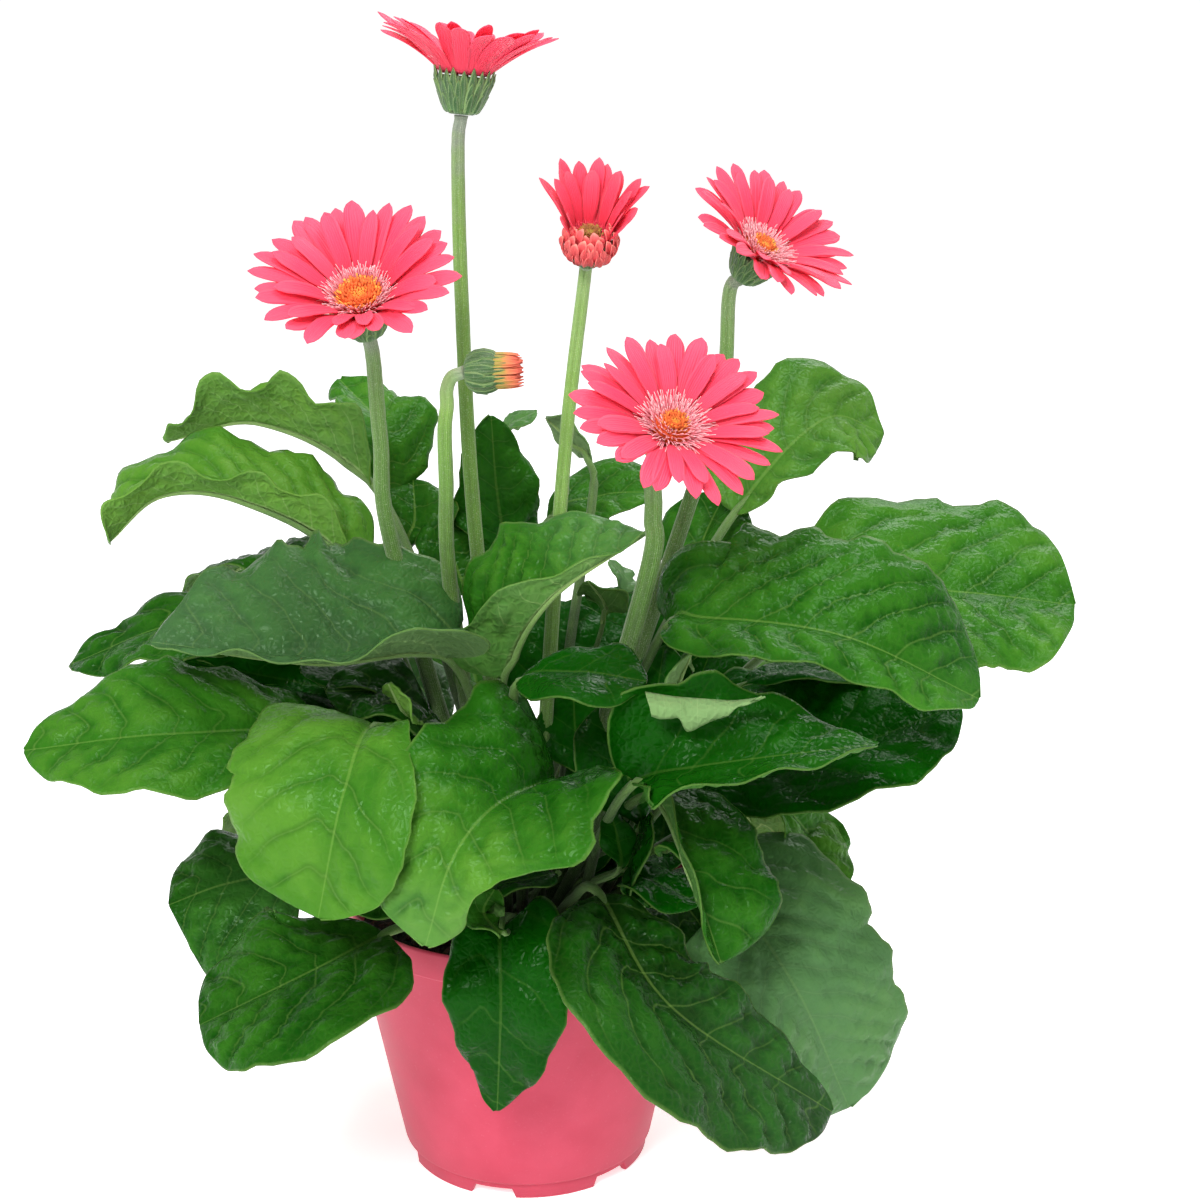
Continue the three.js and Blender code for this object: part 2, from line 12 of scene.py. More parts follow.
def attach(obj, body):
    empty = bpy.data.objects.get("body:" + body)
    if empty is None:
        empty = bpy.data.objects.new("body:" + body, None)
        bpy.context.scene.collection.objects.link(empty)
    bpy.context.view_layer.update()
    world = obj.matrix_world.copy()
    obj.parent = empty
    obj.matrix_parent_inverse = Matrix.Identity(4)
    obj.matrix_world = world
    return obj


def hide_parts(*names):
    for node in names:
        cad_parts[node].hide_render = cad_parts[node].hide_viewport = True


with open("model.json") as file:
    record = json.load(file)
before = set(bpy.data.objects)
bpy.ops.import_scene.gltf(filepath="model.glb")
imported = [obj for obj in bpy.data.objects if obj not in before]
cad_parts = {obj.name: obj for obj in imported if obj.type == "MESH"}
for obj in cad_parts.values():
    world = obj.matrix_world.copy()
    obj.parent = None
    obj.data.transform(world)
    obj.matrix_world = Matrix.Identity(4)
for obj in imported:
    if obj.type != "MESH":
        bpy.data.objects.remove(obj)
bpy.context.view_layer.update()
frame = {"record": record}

# A potted gerbera in a plastic nursery pot. Lengths are in millimetres until a piece is finished,
# which turns it to metres. +Z is up and the camera looks along +Y.

slotOf = {row["node"]: row["material_slot"] for row in frame["record"]["subparts"]}


def mix(a, b, share):
    return a + (b - a) * share


def smoothStep(low, high, value):
    share = np.clip((value - low) / (high - low), 0, 1)
    return share * share * (3 - 2 * share)


def linear(hexColour):
    parts = [int(hexColour[i : i + 2], 16) / 255 for i in (1, 3, 5)]
    return [c / 12.92 if c <= 0.04045 else ((c + 0.055) / 1.055) ** 2.4 for c in parts] + [1]


# inputs feed the sockets, in order or by name, from numbers, hex colours or other nodes' outputs; stops
# are a colour ramp's places and colours, settings the node's own properties. Its outputs come back.
def addNode(owner, kind, inputs=(), stops=(), **settings):
    node = owner.node_tree.nodes.new("ShaderNode" + kind)
    for name, value in settings.items():
        setattr(node, name, value)
    if stops:
        ramp = node.color_ramp
        for _ in stops[2:]:
            ramp.elements.new(0.5)
        for element, (share, tone) in zip(ramp.elements, stops):
            element.position = share
            element.color = linear(tone)
    for socket, source in inputs.items() if isinstance(inputs, dict) else enumerate(inputs):
        if isinstance(source, bpy.types.NodeSocket):
            owner.node_tree.links.new(source, node.inputs[socket])
        else:
            node.inputs[socket].default_value = linear(source) if isinstance(source, str) else source
    return node.outputs


# ---- camera, floor and light

studio = {
    "camera": (0, -0.85, 0.48),  # metres
    "pitchDown": 15.64,
    "turnRight": 2.1,
    "lens": 65.31,
    "wallLight": 1.05,  # the white surroundings at eye level
    "ceilingLight": 0.3,
    "ceiling": (0.2, 0.6),  # the light falls off between these heights of the direction
    "aim": (0, 0, 0.24),
    "lamps": {
        # place, side of the square lamp, watts
        "key": ((-0.45, -1.3, 1.35), 0.55, 26),
        "top": ((0.25, -0.1, 1.7), 0.7, 16),
        "back": ((0.5, 1.2, 1.3), 0.8, 8),
    },
    "floorRadius": 9,
    "floorGlow": 0.62,
}

scene = bpy.context.scene
scene.view_settings.view_transform = "Standard"
scene.view_settings.look = "None"
scene.view_settings.exposure = 0
scene.view_settings.gamma = 1

cameraData = bpy.data.cameras.new("camera")
cameraData.lens = studio["lens"]
cameraData.sensor_width = 36
cameraObject = bpy.data.objects.new("camera", cameraData)
cameraObject.location = studio["camera"]
cameraObject.rotation_euler = (
    math.radians(90 - studio["pitchDown"]),
    0,
    -math.radians(studio["turnRight"]),
)
scene.collection.objects.link(cameraObject)
scene.camera = cameraObject

# white walls with a darker ceiling, so that upward faces keep their depth of colour
world = bpy.data.worlds.new("studio")
world.use_nodes = True
height = addNode(world, "SeparateXYZ", [addNode(world, "TexCoord")["Generated"]])["Z"]
fall = [height, *studio["ceiling"], studio["wallLight"], studio["ceilingLight"]]
background = world.node_tree.nodes["Background"].inputs
background["Color"].default_value = (1, 1, 1, 1)
strength = addNode(world, "MapRange", fall, interpolation_type="SMOOTHSTEP")[0]
world.node_tree.links.new(strength, background["Strength"])
scene.world = world

for name, (place, side, watts) in studio["lamps"].items():
    lamp = bpy.data.lights.new(name, "AREA")
    lamp.size = side
    lamp.energy = watts
    lampObject = bpy.data.objects.new(name, lamp)
    lampObject.location = place
    towards = Vector(studio["aim"]) - Vector(place)
    lampObject.rotation_euler = towards.to_track_quat("-Z", "Y").to_euler()
    scene.collection.objects.link(lampObject)


# ---- materials


# an empty material, the function that adds nodes to it, and the object coordinates
def startMaterial(name):
    material = bpy.data.materials.new(name)
    material.use_nodes = True
    material.node_tree.nodes.clear()
    add = partial(addNode, material)
    return material, add, add("TexCoord")["Object"]


# lays colours over a base, each by its mask from 0 to 1 times its greatest share
def layColours(add, base, *layers):
    for mask, most, colour in layers:
        share = add("Math", [mask, most], operation="MULTIPLY")[0]
        base = add("Mix", {0: share, 6: base, 7: colour}, data_type="RGBA")[2]
    return base


# relief is (height, strength, metres), and through (share, colour) is the light that comes from behind
def finishSkin(add, colour, values, relief=None, through=None):
    normal = {}
    if relief:
        bump = {"Height": relief[0], "Strength": relief[1], "Distance": relief[2]}
        normal = {"Normal": add("Bump", bump)[0]}
    skin = add("BsdfPrincipled", {"Base Color": colour, **normal, **values})[0]
    if through:
        behind = add("BsdfTranslucent", {"Color": through[1], **normal})[0]
        skin = add("MixShader", [through[0], skin, behind])[0]
    add("OutputMaterial", {"Surface": skin})


# a fresh leaf blade: a waxy green skin, glossy over quilted tissue, and a duller downy underside. The
# veins are paler and, on the upper side, lie in grooves darkened with painted shade. Each pair is
# (greatest share, colour).
bladeLooks = {
    "waxyLeafTop": {
        "stops": [(0, "#052803"), (0.25, "#144a0a"), (0.5, "#306a18"), (0.75, "#4e8226"), (1, "#66923a")],
        # painted shade: the dark colour laid in the grooves beside the lateral veins
        "groove": (0.34, "#0a3a08"),
        "lateral": (0.2, "#7fa650"),
        "net": (0.03, "#7fa650"),
        "midrib": (0.24, "#8ab054"),
        "deep": "#034c01",
        # the grey cast: partly a painted sky reflection, over the paler skin of some blades
        "grey": "#5c7c58",
        "netHeight": -0.5,
        "specular": 0.13,
        "roughness": (0.18, 0.32),
    },
    "downyLeafUnder": {
        "stops": [(0, "#3d5f34"), (0.25, "#466e38"), (0.5, "#52803a"), (0.75, "#5f8f38"), (1, "#6f9d3c")],
        "groove": (0, "#466e38"),
        "lateral": (0.5, "#8fae68"),
        "net": (0.12, "#8fae68"),
        "midrib": (0.7, "#a3bf7c"),
        "deep": "#2c6614",
        "grey": "#8ca878",
        "netHeight": 0.8,
        "specular": 0.08,
        "roughness": (0.62, 0.62),
    },
}


# leafRun holds (lateral vein count, distance from the midrib in cm, share of the half width), leafTone
# (share of the blade's length, dark 0 to light 1, height of the quilting in mm), and leafCast the cast
# from -1, greyish, partly a painted sky reflection, to 1, deep green
def bladeMaterial(name):
    look = bladeLooks[name]
    material, add, place = startMaterial(name)
    run = add("Attribute", attribute_name="leafRun")["Vector"]
    tone = add("Attribute", attribute_name="leafTone")["Vector"]
    cast = add("Attribute", attribute_name="leafCast")["Fac"]
    veins, across, edge = add("SeparateXYZ", [run])
    along, light, quilt = add("SeparateXYZ", [tone])

    # lateral veins and the painted shade of their grooves fade out before the margin
    fromVein = add("Math", [veins, 0.5], operation="PINGPONG")[0]
    line = add("MapRange", [fromVein, 0.004, 0.04, 1, 0])[0]
    lineFade = add("MapRange", [edge, 0.55, 0.95, 1, 0.15])[0]
    lateral = add("Math", [line, lineFade], operation="MULTIPLY")[0]
    # painted shade in the grooves along the lateral veins
    paintedGrooveShade = add("MapRange", [fromVein, 0.02, 0.16, 1, 0])[0]
    paintedGrooveShadeFade = add("MapRange", [edge, 0.5, 0.95, 1, 0])[0]
    groove = add("Math", [paintedGrooveShade, paintedGrooveShadeFade], operation="MULTIPLY")[0]
    # the midrib narrows from 2 mm wide at the neck to 0.5 mm at the tip
    midribWidth = add("MapRange", [along, 0, 1, 0.1, 0.025])[0]
    fromMidrib = add("Math", [across, midribWidth], operation="DIVIDE")[0]
    midrib = add("MapRange", [fromMidrib, 0.55, 1.1, 1, 0])[0]
    # the net of fine veins, cells of 3 mm
    netCells = {"Vector": place, "Scale": 330, "Randomness": 0.9}
    fromNet = add("TexVoronoi", netCells, feature="DISTANCE_TO_EDGE")["Distance"]
    net = add("MapRange", [fromNet, 0.02, 0.3, 1, 0])[0]
    # slow change of colour over 40 mm, and the fine grain of the skin at 0.7 mm
    drift = add("TexNoise", {"Vector": place, "Scale": 25, "Detail": 3})["Fac"]
    grain = add("TexNoise", {"Vector": place, "Scale": 1500, "Detail": 2})["Fac"]

    driftShade = add("MapRange", [drift, 0.3, 0.7, -0.1, 0.1])[0]
    # painted shade in the hollows of the quilting and painted light on its bulges
    paintedQuiltShading = add("MapRange", [quilt, -0.8, 0.9, -0.08, 0.1])[0]
    shade = add("Math", [add("Math", [light, driftShade])[0], paintedQuiltShading])[0]
    colour = layColours(
        add,
        add("ValToRGB", [shade], look["stops"])[0],
        (groove, *look["groove"]),
        (lateral, *look["lateral"]),
        (net, *look["net"]),
        (midrib, *look["midrib"]),
        # the deep cast; on blades in the shade of others it is painted shade
        (add("MapRange", [cast, 0, 1])[0], 0.85, look["deep"]),
        # the grey cast: partly a painted sky reflection, partly the paler skin of some blades
        (add("MapRange", [cast, -1, 0, 1, 0])[0], 0.75, look["grey"]),
        (add("MapRange", [edge, 0.965, 0.995])[0], 0.22, "#8fae5c"),
    )
    netRelief = add("Math", [net, look["netHeight"]], operation="MULTIPLY")[0]
    grainRelief = add("Math", [grain, 0.12], operation="MULTIPLY")[0]
    finishSkin(
        add,
        colour,
        {
            "IOR": 1.45,
            "Roughness": add("MapRange", [drift, 0.3, 0.7, *look["roughness"]])[0],
            "Specular IOR Level": look["specular"],
            "Specular Tint": "#c8eec4",
        },
        relief=(add("Math", [netRelief, grainRelief])[0], 0.6, 0.0006),
        through=(0.12, add("Mix", {0: 0.5, 6: colour, 7: "#86b832"}, data_type="RGBA")[2]),
    )
    return material


# a green stalk or bract with the fine white down of the plant, which greys it and takes its shine.
# stalkRun holds (share of the length, share of the way round, nearness to a bract's margin).
def stalkMaterial(name, stops, down):
    material, add, place = startMaterial(name)
    run = add("Attribute", attribute_name="stalkRun")["Vector"]
    share, turn, edge = add("SeparateXYZ", [run])
    blotch = add("TexNoise", {"Vector": place, "Scale": 120, "Detail": 4})["Fac"]
    shade = add("Math", [share, add("MapRange", [blotch, 0.3, 0.7, -0.07, 0.07])[0]])[0]
    # fine ribs along the stalk, about 24 round it
    ribTurn = add("Math", [turn, 24 * 2 * math.pi], operation="MULTIPLY")[0]
    ribs = add("Math", [ribTurn], operation="SINE")[0]
    # hairs under 0.1 mm would not show: the down is drawn as 0.4 mm flecks
    fleck = add("TexNoise", {"Vector": place, "Scale": 2500, "Detail": 2})["Fac"]
    colour = layColours(
        add,
        add("ValToRGB", [shade], stops)[0],
        (add("MapRange", [ribs, 0.2, 1])[0], 0.1, "#c6d6a4"),
        (add("MapRange", [edge, 0.45, 1])[0], 0.6, "#8fae68"),
        (add("MapRange", [fleck, 0.55, 0.75])[0], 0.4 * down, "#d3dcc2"),
    )
    ribRelief = add("Math", [ribs, 0.5], operation="MULTIPLY")[0]
    finishSkin(
        add,
        colour,
        {
            "IOR": 1.45,
            "Roughness": 0.6,
            "Sheen Weight": 0.35 * down,
            "Sheen Roughness": 0.4,
            "Sheen Tint": "#e8efe0",
        },
        relief=(add("Math", [ribRelief, fleck])[0], 0.5, 0.0003),
    )
    return material


# fresh ray florets: thin satin tissue with fine lengthwise ribs, lit a little from behind.
# petalRun holds (share of the length, -1 to 1 across, the floret's own tint).
def petalMaterial(name, stops, pale):
    material, add, place = startMaterial(name)
    run = add("Attribute", attribute_name="petalRun")["Vector"]
    share, across, tint = add("SeparateXYZ", [run])
    blotch = add("TexNoise", {"Vector": place, "Scale": 180, "Detail": 3})["Fac"]
    shade = add("Math", [share, add("MapRange", [blotch, 0.3, 0.7, -0.05, 0.05])[0]])[0]
    # eight fine ribs across a floret
    ribTurn = add("Math", [across, 8 * math.pi], operation="MULTIPLY")[0]
    ribs = add("Math", [ribTurn], operation="SINE")[0]
    fromMiddle = add("Math", [across], operation="ABSOLUTE")[0]
    colour = layColours(
        add,
        add("ValToRGB", [shade], stops)[0],
        (add("MapRange", [ribs, 0, 1])[0], 0.14, pale),
        (add("MapRange", [tint, 0, 1])[0], 0.3, pale),
        (add("MapRange", [fromMiddle, 0.72, 1])[0], 0.35, pale),
    )
    values = {
        "IOR": 1.4,
        "Roughness": 0.5,
        "Specular IOR Level": 0.3,
        "Sheen Weight": 0.15,
        "Sheen Roughness": 0.4,
        "Sheen Tint": "#ffd0d6",
    }
    finishSkin(add, colour, values, relief=(ribs, 0.35, 0.0003), through=(0.22, colour))
    return material


# polypropylene, injection moulded and satin: an even coral pink, a faint flow mottle, no grain, and
# painted shade that darkens the bottom 20 mm
def potMaterial():
    material, add, place = startMaterial("satinPolypropylene")
    mottle = add("TexNoise", {"Vector": place, "Scale": 45, "Detail": 4})["Fac"]
    dust = add("TexNoise", {"Vector": place, "Scale": 900, "Detail": 3})["Fac"]
    height = add("SeparateXYZ", [place])["Z"]
    colour = layColours(
        add,
        "#ba3b52",
        (add("MapRange", [mottle, 0.35, 0.65])[0], 1, "#c4465d"),
        # painted shade: darker over the bottom 20 mm of the pot
        (add("MapRange", [height, 0, 0.02, 1, 0])[0], 0.25, "#a13a4a"),
        (add("MapRange", [dust, 0.62, 0.78])[0], 0.2, "#cf7884"),
    )
    values = {
        "IOR": 1.49,
        "Roughness": add("MapRange", [mottle, 0.3, 0.7, 0.42, 0.55])[0],
        "Specular IOR Level": 0.25,
        "Subsurface Weight": 0.08,
        "Subsurface Radius": (0.004, 0.001, 0.001),
    }
    finishSkin(add, colour, values, relief=(dust, 0.15, 0.0003))
    return material


# crumbs and bark: rough matte matter in broken shades, speckled finer than it is modelled
def looseMaterial(name, dark, middle, pale, grainScale, roughness=0.9):
    material, add, place = startMaterial(name)
    clump = add("TexNoise", {"Vector": place, "Scale": grainScale, "Detail": 6})["Fac"]
    crumb = add("TexVoronoi", {"Vector": place, "Scale": 3 * grainScale})
    tone = add("SeparateColor", [crumb["Color"]])[0]
    shades = add("ValToRGB", [clump], [(0.3, dark), (0.52, middle), (0.75, pale)])[0]
    colour = layColours(add, shades, (tone, 0.5, dark))
    values = {"Roughness": roughness, "Specular IOR Level": 0.3}
    finishSkin(add, colour, values, relief=(crumb["Distance"], 0.9, 0.001))
    return material


# matte white studio paper on a light table
def floorMaterial():
    material, add, place = startMaterial("studioPaper")
    pulp = add("TexNoise", {"Vector": place, "Scale": 3, "Detail": 3})["Fac"]
    values = {
        "Roughness": 0.95,
        "Specular IOR Level": 0.1,
        "Emission Color": "#ffffff",
        "Emission Strength": studio["floorGlow"],
    }
    finishSkin(add, layColours(add, "#f7f7f7", (pulp, 1, "#f9f9f9")), values)
    return material


bladeTop = bladeMaterial("waxyLeafTop")
bladeUnder = bladeMaterial("downyLeafUnder")
# the petioles darken towards the crown: painted shade inside the rosette
petioleSkin = stalkMaterial(
    "petioleSkin",
    [(0, "#22180f"), (0.06, "#1e3512"), (0.28, "#30521c"), (0.5, "#537a32"), (1, "#8aac5c")],
    0.4,
)
# the scapes darken towards the crown as painted shade under the leaves; their grey-green tops are the down
scapeSkin = stalkMaterial(
    "downyScape",
    [(0, "#2c4a10"), (0.3, "#44701a"), (0.6, "#5a8236"), (0.78, "#688650"), (0.9, "#74806a")],
    1.0,
)
paleScapeSkin = stalkMaterial(
    "downyScapePale",
    [(0, "#35581a"), (0.3, "#5f8c30"), (0.55, "#78a244"), (0.75, "#86aa60"), (1, "#92a486")],
    0.8,
)
topScapeSkin = stalkMaterial(
    "downyScapeTall",
    [(0, "#3f6a18"), (0.35, "#5c8c28"), (0.6, "#6c943c"), (0.74, "#728e56"), (0.86, "#798474")],
    1.0,
)
bractSkin = stalkMaterial(
    "downyBract",
    [(0, "#45703a"), (0.3, "#2f5726"), (0.65, "#264c1f"), (0.9, "#36602a"), (1, "#5d7a3c")],
    0.45,
)
raySkin = petalMaterial(
    "rayFloret",
    [(0, "#fb4560"), (0.25, "#fb3c5a"), (0.6, "#ff4265"), (1, "#ff5876")],
    "#ff6680",
)
youngRaySkin = petalMaterial(
    "youngRayFloret",
    [(0, "#ee2a48"), (0.4, "#f53454"), (0.75, "#fd4666"), (1, "#ff5c74")],
    "#ff5c6c",
)
fringeSkin = petalMaterial(
    "fringeFloret",
    [(0, "#fb7484"), (0.4, "#ff8496"), (0.75, "#ffa6b2"), (1, "#ffdedc")],
    "#ffccd2",
)
discSkin = petalMaterial(
    "discFloret",
    [(0, "#c8461c"), (0.35, "#f0682e"), (0.7, "#fc9444"), (1, "#ffcf50")],
    "#ffc868",
)
youngDiscSkin = petalMaterial(
    "youngDiscFloret",
    [(0, "#6e4a1c"), (0.4, "#a8603a"), (0.7, "#b88440"), (1, "#b4a440")],
    "#c8b050",
)
stubSkin = petalMaterial(
    "closedFloret",
    [(0, "#c83440"), (0.4, "#ee4c56"), (0.8, "#fa6a6c"), (1, "#ffac98")],
    "#ff8c88",
)
budRaySkin = petalMaterial(
    "budFloret",
    [(0, "#7a9a34"), (0.5, "#a8a844"), (0.7, "#e88a56"), (0.9, "#e86450"), (1, "#d85048")],
    "#f6a07c",
)
potSkin = potMaterial()
soilSkin = looseMaterial("pottingMix", "#060403", "#160d08", "#3a2016", 160)
barkSkin = looseMaterial("barkChips", "#140a07", "#3c1c14", "#6a3626", 300, 0.8)
crownSkin = looseMaterial("crownTissue", "#2c3a18", "#4a6a2c", "#8a9a5c", 220)
paper = floorMaterial()
print("materials made")


# ---- making pieces


# an empty bmesh and its named vertex layers, which the materials read
def startMesh(*names):
    bm = bmesh.new()
    kinds = bm.verts.layers
    return bm, *[(kinds.float if name == "leafCast" else kinds.float_vector).new(name) for name in names]


# turns a bmesh in millimetres into a finished object in metres
def finishPiece(bm, name, skins, nodes=(), slot=None, smooth=True):
    bmesh.ops.scale(bm, vec=(0.001, 0.001, 0.001), verts=bm.verts[:])
    for face in bm.faces:
        face.smooth = smooth
    mesh = bpy.data.meshes.new(name)
    bm.to_mesh(mesh)
    bm.free()
    for skin in skins:
        mesh.materials.append(skin)
    piece = bpy.data.objects.new(name, mesh)
    scene.collection.objects.link(piece)
    if slot:
        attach(piece, "root")
        if nodes:
            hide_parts(*nodes)
    return piece


# a grid of rows along and columns across, each vertex placed by points[row, column]
def layGrid(bm, points, layers, material=0):
    rows, columns = points.shape[:2]
    made = bmesh.ops.create_grid(bm, x_segments=columns - 1, y_segments=rows - 1, size=1)["verts"]
    faces = set()
    for vertex in made:
        column = round((vertex.co.x + 1) / 2 * (columns - 1))
        row = round((vertex.co.y + 1) / 2 * (rows - 1))
        vertex.co = points[row, column]
        for layer, values in layers:
            vertex[layer] = values[row, column]
        faces.update(vertex.link_faces)
    for face in faces:
        face.material_index = material
    return made, list(faces)


# a closed tube through rings of points, points[ring, side]
def layTube(bm, points, layers, material):
    wrapped = np.concatenate([points, points[:, :1]], axis=1)
    wrappedLayers = [(layer, np.concatenate([v, v[:, :1]], axis=1)) for layer, v in layers]
    made = layGrid(bm, wrapped, wrappedLayers, material)[0]
    bmesh.ops.remove_doubles(bm, verts=made, dist=1e-4)
    made = [vertex for vertex in made if vertex.is_valid]
    rims = [e for e in {e for v in made for e in v.link_edges} if e.is_boundary]
    for face in bmesh.ops.holes_fill(bm, edges=rims, sides=0)["faces"]:
        face.material_index = material


def unit(vectors):
    return vectors / np.maximum(np.linalg.norm(vectors, axis=-1, keepdims=True), 1e-9)


# the uniform Catmull-Rom curve through a list of points, read at 0..1
def curveAt(points, share):
    p = np.array(points, float)
    p = np.vstack([2 * p[0] - p[1], p, 2 * p[-1] - p[-2]])
    spans = len(points) - 1
    x = np.clip(np.asarray(share, float) * spans, 0, spans - 1e-9)
    i = x.astype(int)
    f = (x - i)[..., None]
    a, b, c, d = p[i], p[i + 1], p[i + 2], p[i + 3]
    square = (2 * a - 5 * b + 4 * c - d) * f**2
    return 0.5 * (2 * b + (c - a) * f + square + (3 * b - a - 3 * c + d) * f**3)


def tangentAt(points, share):
    low, high = np.clip(share - 1e-3, 0, 1), np.clip(share + 1e-3, 0, 1)
    return unit(curveAt(points, high) - curveAt(points, low))


# ---- pot

pot = {
    "height": 118,
    "footRadius": 51,
    "rimRadius": 76,
    "rimBand": 13,
    "rimStep": 3,
    "wall": 2,
    "footHeight": 7,
    "footStep": 2,
    "floorRise": 3,
    "padRadius": 30,
    "footInner": 48,
    "holes": 8,
    "holeRadius": 4,
    "holeCircle": 40,
    "notches": 6,
    "notchWidth": 19,
    "notchHeight": 4,
    "notchBearing": 253,
    "wallRows": (30, 55, 80),
    "steps": 180,
}
wallTop = pot["height"] - pot["rimBand"]


def wallRadiusAt(z):
    share = (z - pot["footHeight"]) / (wallTop - pot["footHeight"])
    return mix(pot["footRadius"] + pot["footStep"], pot["rimRadius"] - pot["rimStep"], share)


def spinProfile(bm, profile, steps):
    verts = [bm.verts.new((r, 0, z)) for r, z in profile]
    edges = [bm.edges.new(pair) for pair in zip(verts, verts[1:])]
    bmesh.ops.spin(
        bm,
        geom=verts + edges,
        cent=(0, 0, 0),
        axis=(0, 0, 1),
        angle=2 * math.pi,
        steps=steps,
        use_merge=True,
    )
    bmesh.ops.remove_doubles(bm, verts=bm.verts[:], dist=1e-4)
    bmesh.ops.recalc_face_normals(bm, faces=bm.faces[:])
    if bm.calc_volume(signed=True) < 0:
        bmesh.ops.reverse_faces(bm, faces=bm.faces[:])


def makePot():
    wall, foot, top, rim = pot["wall"], pot["footRadius"], pot["height"], pot["rimRadius"]
    footTop, rise = pot["footHeight"], pot["floorRise"]
    floorTop = rise + wall
    profile = [
        (0, wall),
        (pot["padRadius"], wall),
        (pot["padRadius"] + 3, floorTop),
        (foot - wall, floorTop),
        (wallRadiusAt(footTop + 1) - wall, footTop + 1),
    ]
    profile += [(wallRadiusAt(z) - wall, z) for z in (*pot["wallRows"], wallTop)]
    profile += [
        (rim - wall - 0.6, wallTop + 1.5),
        (rim - wall, top - 1.2),
        (rim - wall + 0.3, top - 0.4),
        (rim - wall + 1, top),
        (rim - 0.6, top),
        (rim - 0.1, top - 0.5),
        (rim, top - 1.4),
        (rim, wallTop + 2.2),
        (rim - 0.4, wallTop + 1.4),
        (rim - 1.2, wallTop + 0.9),
        (wallRadiusAt(wallTop) + 0.5, wallTop + 0.5),
        (wallRadiusAt(wallTop) + 0.05, wallTop - 0.4),
    ]
    profile += [(wallRadiusAt(z), z) for z in (*pot["wallRows"][::-1], footTop + 1.5)]
    profile += [
        (wallRadiusAt(footTop + 0.6) - 0.1, footTop + 0.6),
        (wallRadiusAt(footTop) - 0.6, footTop + 0.1),
        (foot + 0.1, footTop - 0.2),
        (foot, footTop - 1),
        (foot, 0.6),
        (foot - 0.5, 0),
        (pot["footInner"] + 0.5, 0),
        (pot["footInner"], 0.6),
        (pot["footInner"], rise),
        (pot["padRadius"] + 2, rise),
        (pot["padRadius"] - 1, 0),
        (0, 0),
    ]
    bm = bmesh.new()
    spinProfile(bm, profile, pot["steps"])
    halfTurn = math.degrees(math.asin(pot["notchWidth"] / 2 / foot))
    for vertex in bm.verts:
        radius = math.hypot(vertex.co.x, vertex.co.y)
        bearing = math.degrees(math.atan2(vertex.co.y, vertex.co.x)) - pot["notchBearing"]
        apart = (bearing + 180 / pot["notches"]) % (360 / pot["notches"]) - 180 / pot["notches"]
        if radius > pot["padRadius"] + 5 and vertex.co.z < 1 and abs(apart) < halfTurn:
            vertex.co.z += pot["notchHeight"]
    piece = finishPiece(bm, "nursery_pot", [potSkin], ["pot"], slotOf["pot"])
    # the drain holes are drilled with one boolean, kept in the mesh
    drills = bmesh.new()
    for hole in range(pot["holes"]):
        a = hole * 2 * math.pi / pot["holes"]
        centre = (pot["holeCircle"] * math.cos(a), pot["holeCircle"] * math.sin(a), rise)
        bmesh.ops.create_cone(
            drills,
            cap_ends=True,
            segments=32,
            radius1=pot["holeRadius"],
            radius2=pot["holeRadius"],
            depth=20,
            matrix=Matrix.Translation(centre),
        )
    tool = finishPiece(drills, "drills", [potSkin])
    cut = piece.modifiers.new("drain holes", "BOOLEAN")
    cut.operation = "DIFFERENCE"
    cut.solver = "EXACT"
    cut.object = tool
    depsgraph = bpy.context.evaluated_depsgraph_get()
    drilled = bpy.data.meshes.new_from_object(piece.evaluated_get(depsgraph))
    piece.modifiers.clear()
    piece.data = drilled
    bpy.data.objects.remove(tool)
    # the sharp edges of the foot and the drain holes keep their own shading
    drilled.set_sharp_from_angle(angle=math.radians(40))


makePot()
print("pot made")


# ---- soil and crown

soil = {
    "top": 106,
    "crownTop": 113,
    "crownRadius": 37,
    "rings": 34,
    "steps": 96,
    "relief": 2.4,
    "edgeFall": 6,  # it lies this much lower at the wall
    "clearance": 0.4,
    "chips": 330,
    "chipReach": 66,
    "smallChip": (1.2, 3.4),
    "bigChip": (3.4, 6),
    "smallShare": 0.85,
}


def makeSoil():
    low = pot["floorRise"] + pot["wall"] + 0.3
    inside = pot["wall"] + soil["clearance"]
    edge = wallRadiusAt(soil["top"] - soil["edgeFall"]) - inside
    foot = pot["footRadius"] - pot["wall"] - 1
    profile = [(0, pot["wall"] + 0.3), (pot["padRadius"] - 1, pot["wall"] + 0.3)]
    profile += [(pot["padRadius"] + 3, low), (foot, low)]
    nearFloor = pot["footHeight"] + 2
    profile += [(wallRadiusAt(nearFloor) - inside, nearFloor)]
    for i in range(soil["rings"] + 1):
        radius = mix(edge, 0, i / soil["rings"])
        fall = soil["edgeFall"] * smoothStep(soil["crownRadius"], edge, radius)
        profile += [(radius, soil["top"] - fall)]
    bm = bmesh.new()
    spinProfile(bm, profile, soil["steps"])
    for vertex in bm.verts:
        if vertex.co.z > 90:
            radius = math.hypot(vertex.co.x, vertex.co.y)
            hump = noise.noise(vertex.co / 9) + 0.6 * noise.noise(vertex.co / 3.5)
            keep = 1 - 0.8 * smoothStep(edge - 4, edge, radius)
            vertex.co.z += soil["relief"] * keep * hump - 0.6
    bm.normal_update()
    finishPiece(bm, "potting_mix", [soilSkin], ["soil"], slotOf["soil"])


